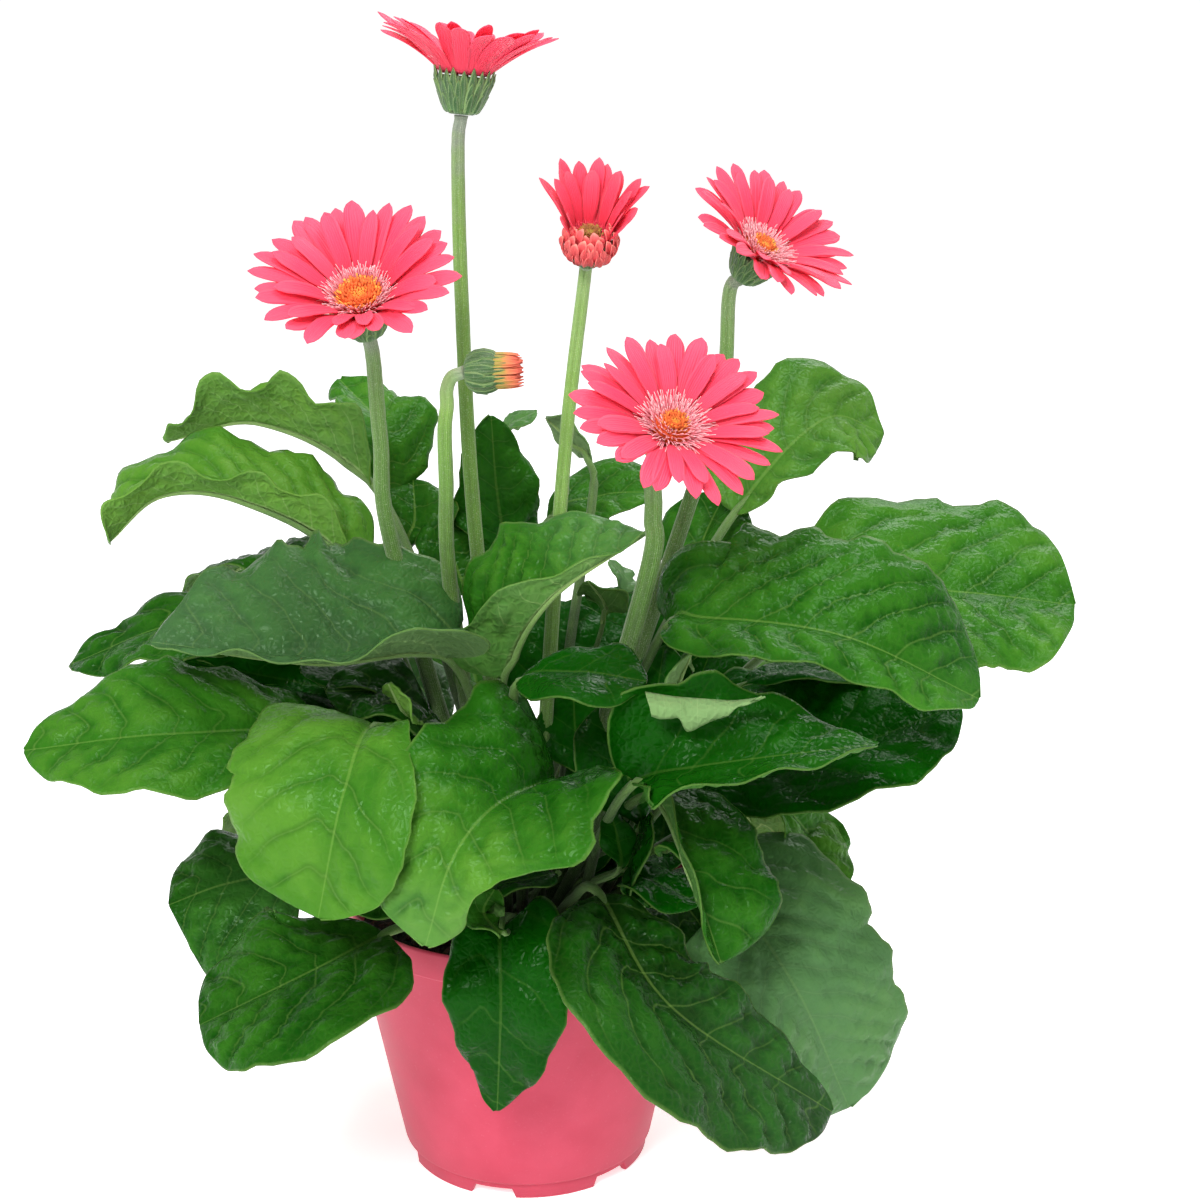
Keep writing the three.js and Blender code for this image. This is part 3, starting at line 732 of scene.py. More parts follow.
# bark chips lie on the mix, each a squashed, bent block with its corners knocked off
def makeChips():
    chance = random.Random("chips")
    bm = bmesh.new()
    for _ in range(soil["chips"]):
        bearing = chance.uniform(0, 2 * math.pi)
        radius = math.sqrt(chance.uniform(soil["crownRadius"] ** 2, soil["chipReach"] ** 2))
        sizes = soil["smallChip"] if chance.random() < soil["smallShare"] else soil["bigChip"]
        size = chance.uniform(*sizes)
        fall = soil["edgeFall"] * float(smoothStep(soil["crownRadius"], 70, radius))
        place = Vector((radius * math.cos(bearing), radius * math.sin(bearing), soil["top"] - fall))
        made = bmesh.ops.create_icosphere(bm, subdivisions=1, radius=size)["verts"]
        flat = Matrix.Diagonal((chance.uniform(0.7, 1.5), chance.uniform(0.4, 0.8), 0.35, 1))
        turn = Matrix.Rotation(chance.uniform(0, 6), 4, "Z")
        lean = Matrix.Rotation(chance.uniform(-0.5, 0.5), 4, "X")
        bmesh.ops.transform(bm, matrix=Matrix.Translation(place) @ turn @ lean @ flat, verts=made)
        for vertex in made:
            vertex.co += 0.25 * size * Vector([chance.uniform(-1, 1) for _ in range(3)])
    bmesh.ops.recalc_face_normals(bm, faces=bm.faces[:])
    finishPiece(bm, "bark_chips", [barkSkin], (), slotOf["soil"], smooth=False)


def makeCrown():
    top, radius, low = soil["crownTop"], soil["crownRadius"], soil["top"] + 0.3
    profile = [(0, low), (radius * 0.8, low), (radius - 1, low)]
    for i in range(9):
        a = i / 8 * math.pi / 2
        profile += [(radius - 5 + 5 * math.cos(a) - 0.6, low + 1 + (top - low - 1.6) * math.sin(a))]
    profile += [(r, top - 0.6) for r in (28, 24, 20, 16, 12, 8, 4, 0)]
    bm = bmesh.new()
    spinProfile(bm, profile, 96)
    for vertex in bm.verts:
        if vertex.co.z > low + 1:
            lump = noise.noise(vertex.co / 5) + 0.5 * noise.noise(vertex.co / 2.2)
            vertex.co.z += 0.8 * lump
            outward = Vector((vertex.co.x, vertex.co.y, 0))
            vertex.co -= outward * 0.02 * abs(lump)
    bm.normal_update()
    finishPiece(bm, "rosette_crown", [crownSkin], ["crown"], slotOf["crown"])


makeSoil()
makeChips()
makeCrown()
print("soil and crown made")


# a point on the crown's top, from its ring's radius and a direction in degrees
def onCrown(radius, bearing):
    a = math.radians(bearing)
    return [radius * math.cos(a), radius * math.sin(a), soil["crownTop"] + 0.3]


# ---- leaves
# root is [ring radius, bearing] on the crown, and route the points of the midrib from the blade's neck
# over its arch to its tip. half is the greatest half width left and right of it, widest where that lies
# along the blade, and full how full the outline is towards the neck and the tip, a low number being
# fuller; shape, where given, lists the half widths of both sides at the blade's stations instead. back
# draws the margin back past the neck on either side. roll turns the top towards the leaf's right at the
# neck and the tip. left and right bend each half blade: angle beside the midrib at the neck and at the
# tip, and the further angle at the margin, at both or at the neck and at the tip. light is the tone of
# the blade at the neck and the tip from 0, dark, to 1, light, and cast its cast from -1, greyish, to 1,
# deep green. The greyish cast is partly a painted sky reflection over the paler skin of some blades, and
# on blades that lie in the shade of others, such as right_shaded, the low light and deep cast are
# painted shade. quilt is the depth of the quilting, lobes that of the margin's, and spacing is how far
# apart the lateral veins leave the midrib. In the paired ones a single number stands for both.

paired = ("half", "widest", "full", "back", "roll", "light", "cast")

plainLeaf = {
    "roll": 0,
    "left": [15, 15, -25],
    "right": [15, 15, -25],
    "back": 0,
    "cast": 0,
    "widest": 0.58,
    "full": [1.1, 0.55],
    "wave": 2,
    "light": 0.35,
    "quilt": 1,
    "lobes": 1,
    "spacing": 18,
}

leaves = {
    "front_small": {
        "root": [31.5, 264], "route": [[-10, -82, 136], [-10, -99, 109], [-12, -92, 63]], "half": [27, 22],
        "back": [16, 8], "widest": 0.36, "full": [0.8, 0.6], "light": [0, 0.1], "cast": [0.9, 0.5],
    },
    "front_right_large": {
        "root": [31.5, 290], "route": [[28, -75, 146], [53, -118, 119], [115, -112, 71]], "half": [26, 46],
        "roll": [10, 15], "left": [35, 10, -20], "widest": 0.52, "full": [0.7, 0.5], "light": 0.12,
        "cast": [0.1, -0.2], "quilt": 1.3,
    },
    "right_low": {
        "root": [31.5, 330], "route": [[80, -45, 129], [105, -72, 104], [130, -60, 44]],
        "shape": [[28, 44, 48, 46, 42, 38, 31, 20], [22, 32, 35, 35, 33, 30, 25, 16]], "back": [18, 0],
        "roll": [30, 55], "light": [0.45, 0.5], "cast": [-0.7, -0.8], "spacing": 13,
    },
    "right_hanging": {
        "root": [22, 298], "route": [[50, -60, 180], [62, -98, 161], [72, -112, 133]],
        "shape": [[14, 26, 32, 33, 33, 31, 26, 18], [10, 15, 15, 13, 11, 8, 6, 4]], "right": [75, 40, 20],
        "light": 0.32, "cast": [0.4, 0.2],
    },
    "right_low_small": {
        "root": [31.5, 354], "route": [[97, -10, 158], [117, -5, 143], [135, 0, 110]], "half": [18, 28],
        "roll": [30, 60], "light": 0.5, "lobes": 2,
    },
    "left_low": {
        "root": [31.5, 228], "route": [[-54, -66, 127], [-82, -92, 123], [-124, -95, 103]],
        "half": [44, 43], "roll": -10, "widest": 0.55, "full": [0.6, 0.4], "light": 0.32, "cast": [0, 0.1],
    },
    "left_low_back": {
        "root": [31.5, 203], "route": [[-92, -22, 134], [-121, -30, 133], [-144, -32, 125]],
        "shape": [[20, 34, 42, 44, 42, 38, 30, 20], [20, 30, 33, 33, 30, 27, 22, 14]], "roll": -15,
        "left": [-15, -25, -25, -25], "light": 0.3, "cast": [-0.2, 0],
    },
    "left_pale": {
        "root": [31.5, 246], "route": [[-55, -72, 214], [-65, -112, 203], [-75, -122, 158]],
        "shape": [[11, 14, 20, 27, 31, 28, 22, 14], [28, 42, 46, 46, 43, 39, 33, 22]], "back": [8, 12],
        "left": [17, 15, -25, -25], "light": [0.66, 0.62], "cast": [0.1, 0], "quilt": 0.6,
    },
    "front_pale": {
        "root": [22, 283], "route": [[12, -70, 189], [-10, -106, 195], [-26, -126, 182], [-36, -134, 152]],
        "shape": [[20, 28, 43, 47, 21, 12, 12, 9], [40, 46, 41, 36, 32, 29, 23, 13]], "back": [13, 18],
        "roll": [-42, -15], "left": [70, -22, 10, -25], "right": [20, 10, -25, -25], "light": [0.3, 0.75],
        "cast": [0.8, -0.35], "quilt": 1.1, "lobes": 1.5,
    },
    "left_glossy": {
        "root": [31.5, 215], "route": [[-76, -45, 200], [-133, -70, 211], [-188, -70, 205]],
        "half": [33, 40], "roll": -25, "widest": 0.5, "full": [0.55, 0.62], "light": 0.5, "cast": [0.5, 0],
    },
    "left_dark": {
        "root": [13, 250], "route": [[-30, -44, 232], [-79, -58, 235], [-140, -60, 244]],
        "shape": [[32, 44, 43, 31, 20, 12, 8, 5], [32, 46, 56, 60, 56, 46, 34, 18]], "back": [3, 6],
        "roll": [-38, -34], "left": [80, 50, -20, -20], "right": [15, 10, -20, -20], "light": [0.22, 0.25],
        "cast": [-0.25, -0.5], "lobes": 1.8,
    },
    "left_back": {
        "root": [31.5, 178], "route": [[-79, 10, 221], [-135, 5, 233], [-184, 0, 217]], "half": [30, 22],
        "roll": -15, "light": 0.3,
    },
    "left_back_small": {
        "root": [22, 150], "route": [[-72, 45, 228], [-106, 66, 246], [-150, 95, 218]], "half": [30, 20],
        "light": 0.3,
    },
    "upper_left_front": {
        "root": [22, 180], "route": [[-70, 10, 257], [-113, 15, 282], [-146, 15, 284], [-168, 12, 265]],
        "shape": [[6, 12, 14, 15, 15, 14, 13, 10], [18, 30, 37, 36, 33, 31, 32, 25]], "back": [0, 6],
        "left": [75, 30, 0], "right": [50, 35, -30], "light": [0.7, 0.72], "cast": [0.2, 0], "lobes": 2.4,
        "spacing": 10,
    },
    "upper_left_back": {
        "root": [13, 140], "route": [[-62, 45, 280], [-110, 65, 304], [-152, 70, 295]], "half": [28, 24],
        "left": [80, 30, 0], "right": [20, 10, 0], "widest": [0.42, 0.5], "full": [0.9, 0.6], "light": 0.7,
        "lobes": 2.4, "spacing": 10,
    },
    "back_left": {
        "root": [13, 110], "route": [[-54, 60, 258], [-59, 75, 296], [-80, 105, 315]], "half": [17, 26],
        "light": 0.5, "lobes": 2.2, "spacing": 12,
    },
    "back_dark": {
        "root": [13, 75], "route": [[-7, 58, 244], [-11, 66, 275], [-13, 74, 304]], "half": [20, 19],
        "widest": 0.35, "full": 0.6, "light": [0.34, 0.39], "cast": [0.6, 0.4], "lobes": 2, "spacing": 11,
    },
    "back_tip": {
        "root": [31.5, 82], "route": [[-16, 135, 267], [-8, 140, 285], [7, 142, 293]], "half": [12, 14],
        "light": 0.6, "cast": -0.5,
    },
    "back_narrow": {
        "root": [13, 40], "route": [[31, 62, 279], [22, 72, 293], [11, 80, 302]], "half": 11, "roll": 60,
        "light": 0.4, "cast": -0.8,
    },
    "back_centre": {
        "root": [22, 60], "route": [[10, 74, 255], [34, 84, 266], [58, 78, 269]], "half": [26, 20],
        "roll": 20, "light": 0.4,
    },
    "centre_quilted": {
        "root": [22, 249], "route": [[-8, -45, 224], [9, -58, 259], [47, -52, 283]],
        "shape": [[22, 30, 42, 46, 38, 28, 20, 12], [16, 24, 22, 12, 6, 5, 3, 2]], "back": [2, 4],
        "left": [62, 40, -20, -20], "right": [80, 40, 20, 20], "light": [0.42, 0.46], "cast": [0.6, -0.5],
        "quilt": 1.3, "spacing": 13,
    },
    "centre_dark": {
        "root": [22, 266], "route": [[-3, -58, 225], [19, -80, 237], [45, -90, 236]], "half": [18, 22],
        "roll": 20, "full": [0.7, 0.5], "light": [0.05, 0.1], "cast": [0.9, 0.5], "quilt": 0.6,
    },
    "right_large": {
        "root": [22, 340], "route": [[56, -38, 242], [70, -55, 250], [119, -78, 249], [170, -82, 225]],
        "shape": [[18, 32, 44, 50, 50, 50, 45, 32], [4, 9, 19, 26, 22, 20, 18, 15]], "back": [6, 0],
        "roll": [25, 20], "left": [30, 15, -25], "light": 0.36, "cast": [0.4, -0.1], "quilt": 1.2,
    },
    "far_right": {
        "root": [22, 5], "route": [[136, 20, 239], [183, 25, 237], [231, 20, 232]],
        "shape": [[26, 46, 55, 60, 59, 52, 42, 28], [30, 44, 50, 52, 50, 46, 38, 26]], "back": [14, 0],
        "roll": 25, "light": 0.46,
    },
    "upper_right": {
        "root": [22, 30], "route": [[91, 60, 263], [131, 80, 300], [160, 90, 292]],
        "shape": [[14, 26, 34, 36, 32, 28, 22, 14], [8, 12, 16, 22, 26, 23, 17, 9]], "roll": [5, 48],
        "left": [45, 0, -20], "right": [0, 0, -10], "light": 0.67, "cast": -0.1, "lobes": 1.5,
        "spacing": 14,
    },
    "right_shaded": {
        "root": [31.5, 342], "route": [[70, -30, 175], [118, -45, 190], [172, -40, 209]],
        "shape": [[36, 52, 56, 54, 48, 41, 32, 18], [10, 20, 27, 32, 32, 28, 21, 12]], "back": [12, 0],
        "roll": 25, "light": 0, "cast": [1, 0.8],
    },
    "right_folded": {
        "root": [31.5, 313], "route": [[41, -86, 195], [64, -104, 208], [128, -108, 217]],
        "shape": [[6, 18, 37, 38, 32, 25, 17, 6], [8, 17, 27, 27, 21, 14, 9, 5]], "back": [0, -24],
        "left": [60, 10, 150, -20], "right": [-12, -14, 10, 30], "light": [0.15, 0.25], "cast": [0.9, 0.4],
    },
    "pale_small": {
        "root": [22, 322], "route": [[56, -41, 210], [59, -44, 221], [66, -44, 236]], "half": [18, 15],
        "light": 0.6, "cast": -0.6, "lobes": 2,
    },
    "back_low_left": {
        "root": [31.5, 145], "route": [[-75, 55, 140], [-105, 80, 132], [-128, 98, 92]], "half": 34,
        "light": 0.3,
    },
    "back_low": {
        "root": [31.5, 98], "route": [[-10, 86, 138], [-14, 118, 122], [-16, 140, 70]], "half": 36,
        "light": 0.25,
    },
    "back_low_right": {
        "root": [31.5, 41], "route": [[72, 62, 142], [96, 90, 128], [114, 110, 80]], "half": 34,
        "light": 0.35,
    },
    "back_right": {
        "root": [31.5, 66], "route": [[50, 72, 184], [78, 112, 196], [110, 152, 162]], "half": 41,
        "light": 0.45,
    },
    "back_middle": {
        "root": [31.5, 118], "route": [[-20, 78, 176], [-30, 122, 190], [-44, 172, 152]], "half": 44,
        "light": 0.5,
    },
    "inner_left": {
        "root": [22, 225], "route": [[-30, -27, 192], [-48, -38, 215], [-77, -42, 218]], "half": 26,
        "roll": -15, "light": 0.1,
    },
}

blade = {
    "thickness": 0.7,
    "quiltHeight": 1.9,
    "cell": 4.2,  # the bulges between the fine veins
    "cellHeight": 0.8,
    "swell": 32,  # the slow rise and fall over the whole blade
    "swellHeight": 1.6,
    "veinBow": (0.7, 0.006),  # how far the laterals reach towards the tip, and bend further
    "stray": 14,
    "strayShare": 0.22,
    "lobe": (0.028, 24),  # share of the half width, and the length of one
    "tooth": (0.014, 9.5),
    "frill": (1.6, 27),
    "petioleRadius": 2.6,
    "smallPetiole": 0.55,
    "ribTipRadius": 0.35,
    "tipHalfWidth": 1.2,
    "foldWidth": 10,
    "backWidth": 15,
    "neckRound": 0.06,
    "tipRound": 0.16,
    "blur": 0.04,
    "step": 1.9,  # between the vertices
    "rows": (24, 84),
    "halfColumns": (8, 28),
    "spike": 5,  # a vertex this far from its neighbours is a fault
}
stations = [0, 0.12, 0.28, 0.46, 0.64, 0.8, 0.93, 1]


def midribPoints(leaf):
    root, neck = np.array(onCrown(*leaf["root"])), np.array(leaf["route"][0], float)
    lift = mix(root, neck, 0.4)
    lift[2] = mix(root[2], neck[2], 0.55)
    return [root, lift, *leaf["route"]]


# forward, right and top directions along the midrib
def midribFrame(leaf, points, share, roll):
    forward = tangentAt(points, share)
    heading = np.subtract(leaf["route"][-1], leaf["route"][0])
    level = unit(np.array([heading[1], -heading[0], 0.0]))
    right = unit(level - forward * (forward @ level)[..., None])
    top = np.cross(right, forward)
    turn = np.radians(roll)[..., None]
    return forward, right * np.cos(turn) - top * np.sin(turn), top * np.cos(turn) + right * np.sin(turn)


# a blade is the midrib curve past its second span
def neckShare(points):
    return 2 / (len(points) - 1)


# falls as a quarter circle from 1 to 0 while past goes from 0 to span
def roundOff(past, span):
    return np.maximum(1 - (np.maximum(past, 0) / span) ** 2, 0) ** 0.5


def halfWidth(leaf, side, b):
    if "shape" in leaf:
        shifts = (-blade["blur"], 0, 0, blade["blur"])
        width = sum(np.interp(b + shift, stations, leaf["shape"][side]) for shift in shifts) / 4
        width = width * roundOff(b - 1 + blade["tipRound"], blade["tipRound"])
        width = width * roundOff(blade["neckRound"] - b, blade["neckRound"])
    else:
        along = b ** (math.log(0.5) / math.log(leaf["widest"][side]))
        swell = np.maximum(np.sin(math.pi * along), 0)
        width = leaf["half"][side] * swell ** mix(*leaf["full"], b)
    return np.maximum(width, blade["tipHalfWidth"])


def leafSurface(leaf, chance):
    points = midribPoints(leaf)
    # rows are even along the midrib, closer at the neck and the tip
    fine = np.linspace(0, 1, 301)
    first = neckShare(points)
    curve = curveAt(points, first + fine * (1 - first))
    run = np.concatenate([[0], np.cumsum(np.linalg.norm(np.diff(curve, axis=0), axis=1))])
    length = run[-1]
    width = max(halfWidth(leaf, side, fine).max() for side in (0, 1))
    even = np.linspace(0, 1, int(np.clip(length / blade["step"], *blade["rows"])))
    columns = 2 * int(np.clip(width / blade["step"], *blade["halfColumns"])) + 1
    b = np.interp((even - 0.5 * np.sin(2 * math.pi * even) / (2 * math.pi)) * length, run, fine)
    s = np.interp(b, fine, run)[:, None]
    v = np.linspace(-1, 1, columns)[None, :]
    far, side = np.abs(v), np.sign(v)
    share = first + b * (1 - first)
    curve = curveAt(points, share)[:, None, :]
    ways = midribFrame(leaf, points, share, mix(*leaf["roll"], b))
    forward, right, top = (way[:, None, :] for way in ways)
    b = b[:, None]
    half = np.where(v < 0, halfWidth(leaf, 0, b), halfWidth(leaf, 1, b))
    phase = [chance.uniform(0, 6) for _ in range(6)]
    # the margin's lobes and teeth
    circle = 2 * math.pi * s
    lobe = blade["lobe"][0] * np.sin(circle / blade["lobe"][1] + phase[0] + side)
    lobe = lobe + blade["tooth"][0] * np.sin(circle / blade["tooth"][1] + phase[1] + 2 * side)
    half = half * (1 + leaf["lobes"] * lobe * smoothStep(0.3, 1, far) * smoothStep(0, 0.15, b))
    neckRise, tipRise, neckCurl, tipCurl = (
        np.where(v < 0, leaf["left"][i], leaf["right"][i]) for i in (0, 1, 2, -1)
    )
    reach = far * half
    start = np.radians(mix(neckRise, tipRise, b)) * np.minimum(1, half / blade["foldWidth"])
    turn = np.radians(mix(neckCurl, tipCurl, b) * far)
    turn = np.where(np.abs(turn) < 1e-6, 1e-6, turn)
    out = (np.sin(start + turn) - np.sin(start)) / turn
    up = (np.cos(start) - np.cos(start + turn)) / turn
    ripple = leaf["wave"] * far**2 * np.sin(b * 11 + np.where(v < 0, 0, 2)) * np.sin(math.pi * b)
    frill = leaf["lobes"] * far**3 * np.sin(circle / blade["frill"][1] + phase[2] + side)
    frill = blade["frill"][0] * frill * smoothStep(0, 0.15, b) * (1 - 0.5 * smoothStep(0.9, 1, b))
    place = curve + (side * reach * out)[..., None] * right + (reach * up + ripple + frill)[..., None] * top
    back = np.where(v < 0, *leaf["back"]) * far**1.5 * np.minimum(1, half / blade["backWidth"])
    place = place - (back * (1 - smoothStep(0, 0.5, b)))[..., None] * forward
    # the quilting stands along the surface's own normal
    normal = unit(np.cross(np.gradient(place, axis=1), np.gradient(place, axis=0)))
    signed = side * reach
    spots = [[(x, y, 10 * phase[4]) for y in line] for x, line in zip(s[:, 0], signed)]
    cells, swell, stray = (
        np.array([[noise.noise(Vector(spot) / blade[size]) for spot in line] for line in spots])
        for size in ("cell", "swell", "stray")
    )
    # the laterals bow towards the tip and wander a little
    spacing = length / max(round(length / leaf["spacing"]), 4)
    bow = s - blade["veinBow"][0] * reach - blade["veinBow"][1] * reach**2
    q = bow / spacing + 0.5 * smoothStep(0, 8, signed) + phase[3] / 6 + blade["strayShare"] * stray
    fade = (1 - smoothStep(0.78, 1, far)) * smoothStep(0, 0.1, b) * (1 - smoothStep(0.9, 1, b))
    bulge = np.abs(np.sin(math.pi * q)) ** 0.8 - 0.45
    height = blade["quiltHeight"] * bulge * (1 - np.exp(-((reach / 6) ** 2))) * fade
    height = height + 2 * blade["cellHeight"] * cells * fade * smoothStep(0, 6, reach)
    height = leaf["quilt"] * height + blade["swellHeight"] * swell * smoothStep(0, 10, reach)
    # the midrib lies in a shallow groove
    height = height - 0.5 * np.exp(-((reach / 2.2) ** 2)) * (1 - b)
    place = place + height[..., None] * normal
    every = 0 * q
    leafRun = np.stack([q, reach / 10, far + every], axis=-1)
    leafTone = np.stack([b + every, mix(*leaf["light"], b) + every, height], axis=-1)
    return points, place, leafRun, leafTone, mix(*leaf["cast"], b) + every


# a stalk's tube round its centre line, with the share of its length and of the way round it
def layStalk(bm, layer, centre, right, top, radius, angle, share, material=0):
    tube = (
        centre[:, None, :]
        + (radius * np.sin(angle))[..., None] * right[:, None, :]
        + (radius * np.cos(angle))[..., None] * top[:, None, :]
    )
    every = 0 * radius
    run = np.stack([share[:, None] + every, angle / (2 * math.pi) + every, every], axis=-1)
    layTube(bm, tube, [(layer, run)], material)


# the petiole and the rib under the blade are one tapering tube from the crown to the tip
def layRib(bm, layer, leaf, points, stout, material):
    share = np.linspace(0, 1, 44)
    first = neckShare(points)
    b = np.clip((share - first) / (1 - first), 0, 1)
    radius = np.where(
        share < first,
        mix(1, 0.75, share / first) * stout,
        mix(0.75 * stout, blade["ribTipRadius"], b**0.7),
    )
    _, right, top = midribFrame(leaf, points, share, mix(*leaf["roll"], b) * (share >= first))
    right[0] = unit(right[0] * [1, 1, 0])
    top[0] = np.cross(right[0], [0, 0, 1])
    under = (radius + 0.3 + 0.5 * (1 - b)) * smoothStep(first, first + 0.06, share)
    centre = curveAt(points, share) - under[:, None] * top
    angle = np.linspace(0, 2 * math.pi, 10, endpoint=False)
    groove = 1 - 0.3 * np.exp(-((((angle + math.pi) % (2 * math.pi) - math.pi) / 0.5) ** 2))
    layStalk(bm, layer, centre, right, top, radius[:, None] * groove, angle, share, material)


def makeLeaf(name, given, small=False):
    leaf = {**plainLeaf, **given}
    leaf.update({key: [leaf[key]] * 2 for key in paired if isinstance(leaf.get(key), (int, float))})
    points, place, leafRun, leafTone, leafCast = leafSurface(leaf, random.Random("leaf " + name))
    bm, *layers, stalkLayer = startMesh("leafRun", "leafTone", "leafCast", "stalkRun")
    faces = layGrid(bm, place, list(zip(layers, (leafRun, leafTone, leafCast))))[1]
    bm.normal_update()
    outer = set(bm.verts)
    thick = bmesh.ops.solidify(bm, geom=faces, thickness=blade["thickness"])["geom"]
    for face in thick:
        if isinstance(face, bmesh.types.BMFace) and not outer.intersection(face.verts):
            face.material_index = 1
    # thickening throws a vertex far out where the surface pinches: it goes back among its neighbours
    for _ in range(2):
        for vertex in bm.verts:
            around = [edge.other_vert(vertex).co for edge in vertex.link_edges]
            middle = sum(around, Vector()) / len(around)
            if (vertex.co - middle).length > blade["spike"]:
                vertex.co = middle
    bladeVerts = set(bm.verts)
    stout = blade["petioleRadius"] * (blade["smallPetiole"] if small else 1)
    layRib(bm, stalkLayer, leaf, points, stout, 2)
    bmesh.ops.recalc_face_normals(bm, faces=[f for f in bm.faces if f.verts[0] not in bladeVerts])
    node = "leaf_front_small" if small else "leaf_" + name
    skins = [bladeTop, bladeUnder, petioleSkin]
    finishPiece(bm, name + "_leaf", skins, () if small else (node,), slotOf[node])


# small and young leaves that fill the middle of the plant, with nothing of their own to stand for.
# Most are near black, light near 0 and a deep cast: painted shade that darkens the inside of the rosette.
fillerColumns = ("root", "route", "half", "light", "cast", "lobes", "roll")
fillers = {
    "inner_left": [[13, 270], [[21, 20, 182], [15, 34, 208], [11, 50, 228]], 34, 0.06, [0.9, 0.6]],
    "inner_middle": [[13, 60], [[41, 30, 180], [44, 45, 207], [51, 62, 231]], 36, 0.1, [0.9, 0.6]],
    "inner_right": [[22, 0], [[57, 20, 161], [71, 36, 185], [83, 52, 209]], [38, 36], 0.04, [0.9, 0.6]],
    "inner_tip": [[13, 20], [[73, 60, 225], [78, 70, 247], [90, 84, 268]], 24, 0.25, 0],
    "inner_grey": [[22, 230], [[-31, 20, 182], [-42, 30, 194], [-55, 36, 204]], [20, 22], 0.3, -0.3],
    "inner_ear": [[13, 240], [[-10, -10, 194], [-18, -16, 208], [-27, -20, 218]], 12, 0.55, -0.3, 2],
    "inner_wedge": [[13, 300], [[33, 16, 227], [34, 14, 237], [27, 8, 248]], [12, 13], 0.45, 0],
    "low_right": [[22, 330], [[56, 20, 125], [62, 38, 138], [73, 60, 153]], 36, 0.02, [0.9, 0.6]],
    "low_middle": [[22, 60], [[32, 25, 123], [28, 45, 138], [25, 65, 161]], 38, 0, [0.9, 0.6]],
    "low_left": [[22, 200], [[-2, 15, 127], [-17, 30, 140], [-37, 45, 155]], 32, 0.02, [0.9, 0.6]],
    "upper_dark": [[13, 130], [[-48, 50, 246], [-46, 58, 262], [-47, 72, 277]], [16, 18], 0.35, 0, 2],
    "upper_pale": [[13, 110], [[-23, 40, 229], [-29, 50, 246], [-35, 60, 264]], 18, 0.35, 0, 2],
    "right_tip": [[31.5, 345], [[101, 0, 132], [116, -10, 140], [131, -20, 121]], [24, 22], 0.6, 0, 2],
    "left_ear": [[31.5, 250], [[-39, -50, 202], [-46, -58, 216], [-51, -60, 227]], [9, 11], 0.85, 0],
    "inner_pale": [[13, 330], [[49, 20, 236], [44, 22, 244], [36, 24, 252]], [7, 8], 0.7, -0.8],
    "left_shade": [[22, 220], [[-34, -5, 193], [-58, -15, 212], [-88, -25, 221]], 28, 0.08, [0.9, 0.6]],
    "shade_front": [[22, 300], [[45, -45, 160], [40, -40, 183], [35, -30, 209]], 26, 0.03, [0.9, 0.6]],
    "shade_low": [[31.5, 300], [[37, -50, 132], [43, -55, 151], [49, -50, 169]], 24, 0.02, [0.9, 0.6]],
    "shade_right": [[22, 310], [[46, -30, 184], [52, -28, 208], [56, -22, 229]], 20, 0.05, [0.9, 0.6]],
    "shade_middle": [[13, 280], [[26, -20, 167], [21, -10, 188], [20, -5, 210]], 18, 0.05, [0.9, 0.6]],
    "rim_shade": [[31.5, 320], [[47, -20, 126], [62, -45, 129], [77, -60, 112]], [34, 30], 0.12, 0],
    "rim_left": [[31.5, 235], [[-39, -40, 127], [-51, -60, 138], [-73, -75, 143]], [26, 30], 0.2, 0],
    "rim_cover": [
        [31.5, 310], [[51, -58, 156], [63, -72, 165], [77, -82, 163]], [20, 18], [0.02, 0.05], [0.9, 0.8],
    ],
    "rim_cover_low": [
        [22, 300], [[40, -50, 145], [50, -66, 147], [67, -78, 142]], 18, [0.02, 0.05], [0.9, 0.8],
    ],
    "rim_middle": [
        [22, 270], [[13, -54, 146], [-2, -64, 147], [-22, -70, 147]], [13, 11], [0.1, 0.2], [0.6, 0.3], 2,
    ],
    "rim_ear": [
        [31.5, 300], [[45, -68, 136], [46, -64, 144], [43, -60, 152]], [10, 7], [0.1, 0.15], [0.8, 0.6],
    ],
    "rim_stem": [[31.5, 295], [[36, -66, 151], [36, -62, 162], [33, -58, 173]], 8, 0.1, [0.8, 0.6]],
    "front_twist": [
        [31.5, 262], [[-8, -94, 138], [-16, -90, 145], [-12, -84, 152]], [9, 8], [0.35, 0.4], 0, 2,
    ],
    "rim_far": [[22, 300], [[22, -20, 128], [44, -12, 134], [69, -6, 135]], 15, [0, 0.02], [0.9, 0.8]],
    "rim_far_left": [[22, 250], [[14, -16, 127], [31, -6, 137], [48, 4, 145]], 16, [0, 0.02], [0.9, 0.8]],
    "shade_left_low": [
        [22, 225], [[-54, -12, 186], [-85, -22, 203], [-129, -30, 216]], [22, 20], [0.05, 0.15], [0.8, 0.5],
    ],
    "shade_right_top": [
        [31.5, 350], [[85, -16, 209], [118, -8, 213], [157, 0, 202]], 20, [0, 0.05], [0.9, 0.8],
    ],
    "shade_left_far": [
        [31.5, 215], [[-81, 20, 198], [-118, 24, 210], [-160, 26, 215]], [16, 18], [0.2, 0.3], [0.4, 0.2],
    ],
    "shade_left_middle": [
        [22, 215], [[-51, 2, 197], [-88, 4, 206], [-139, 10, 215]], 21, [0, 0.1], [0.9, 0.8], 1, [-45, -40],
    ],
    "shade_left_stem": [
        [22, 235], [[-36, -4, 180], [-52, -2, 190], [-73, 4, 199]], 15, [0, 0.05], 0.9, 1, -45,
    ],
}

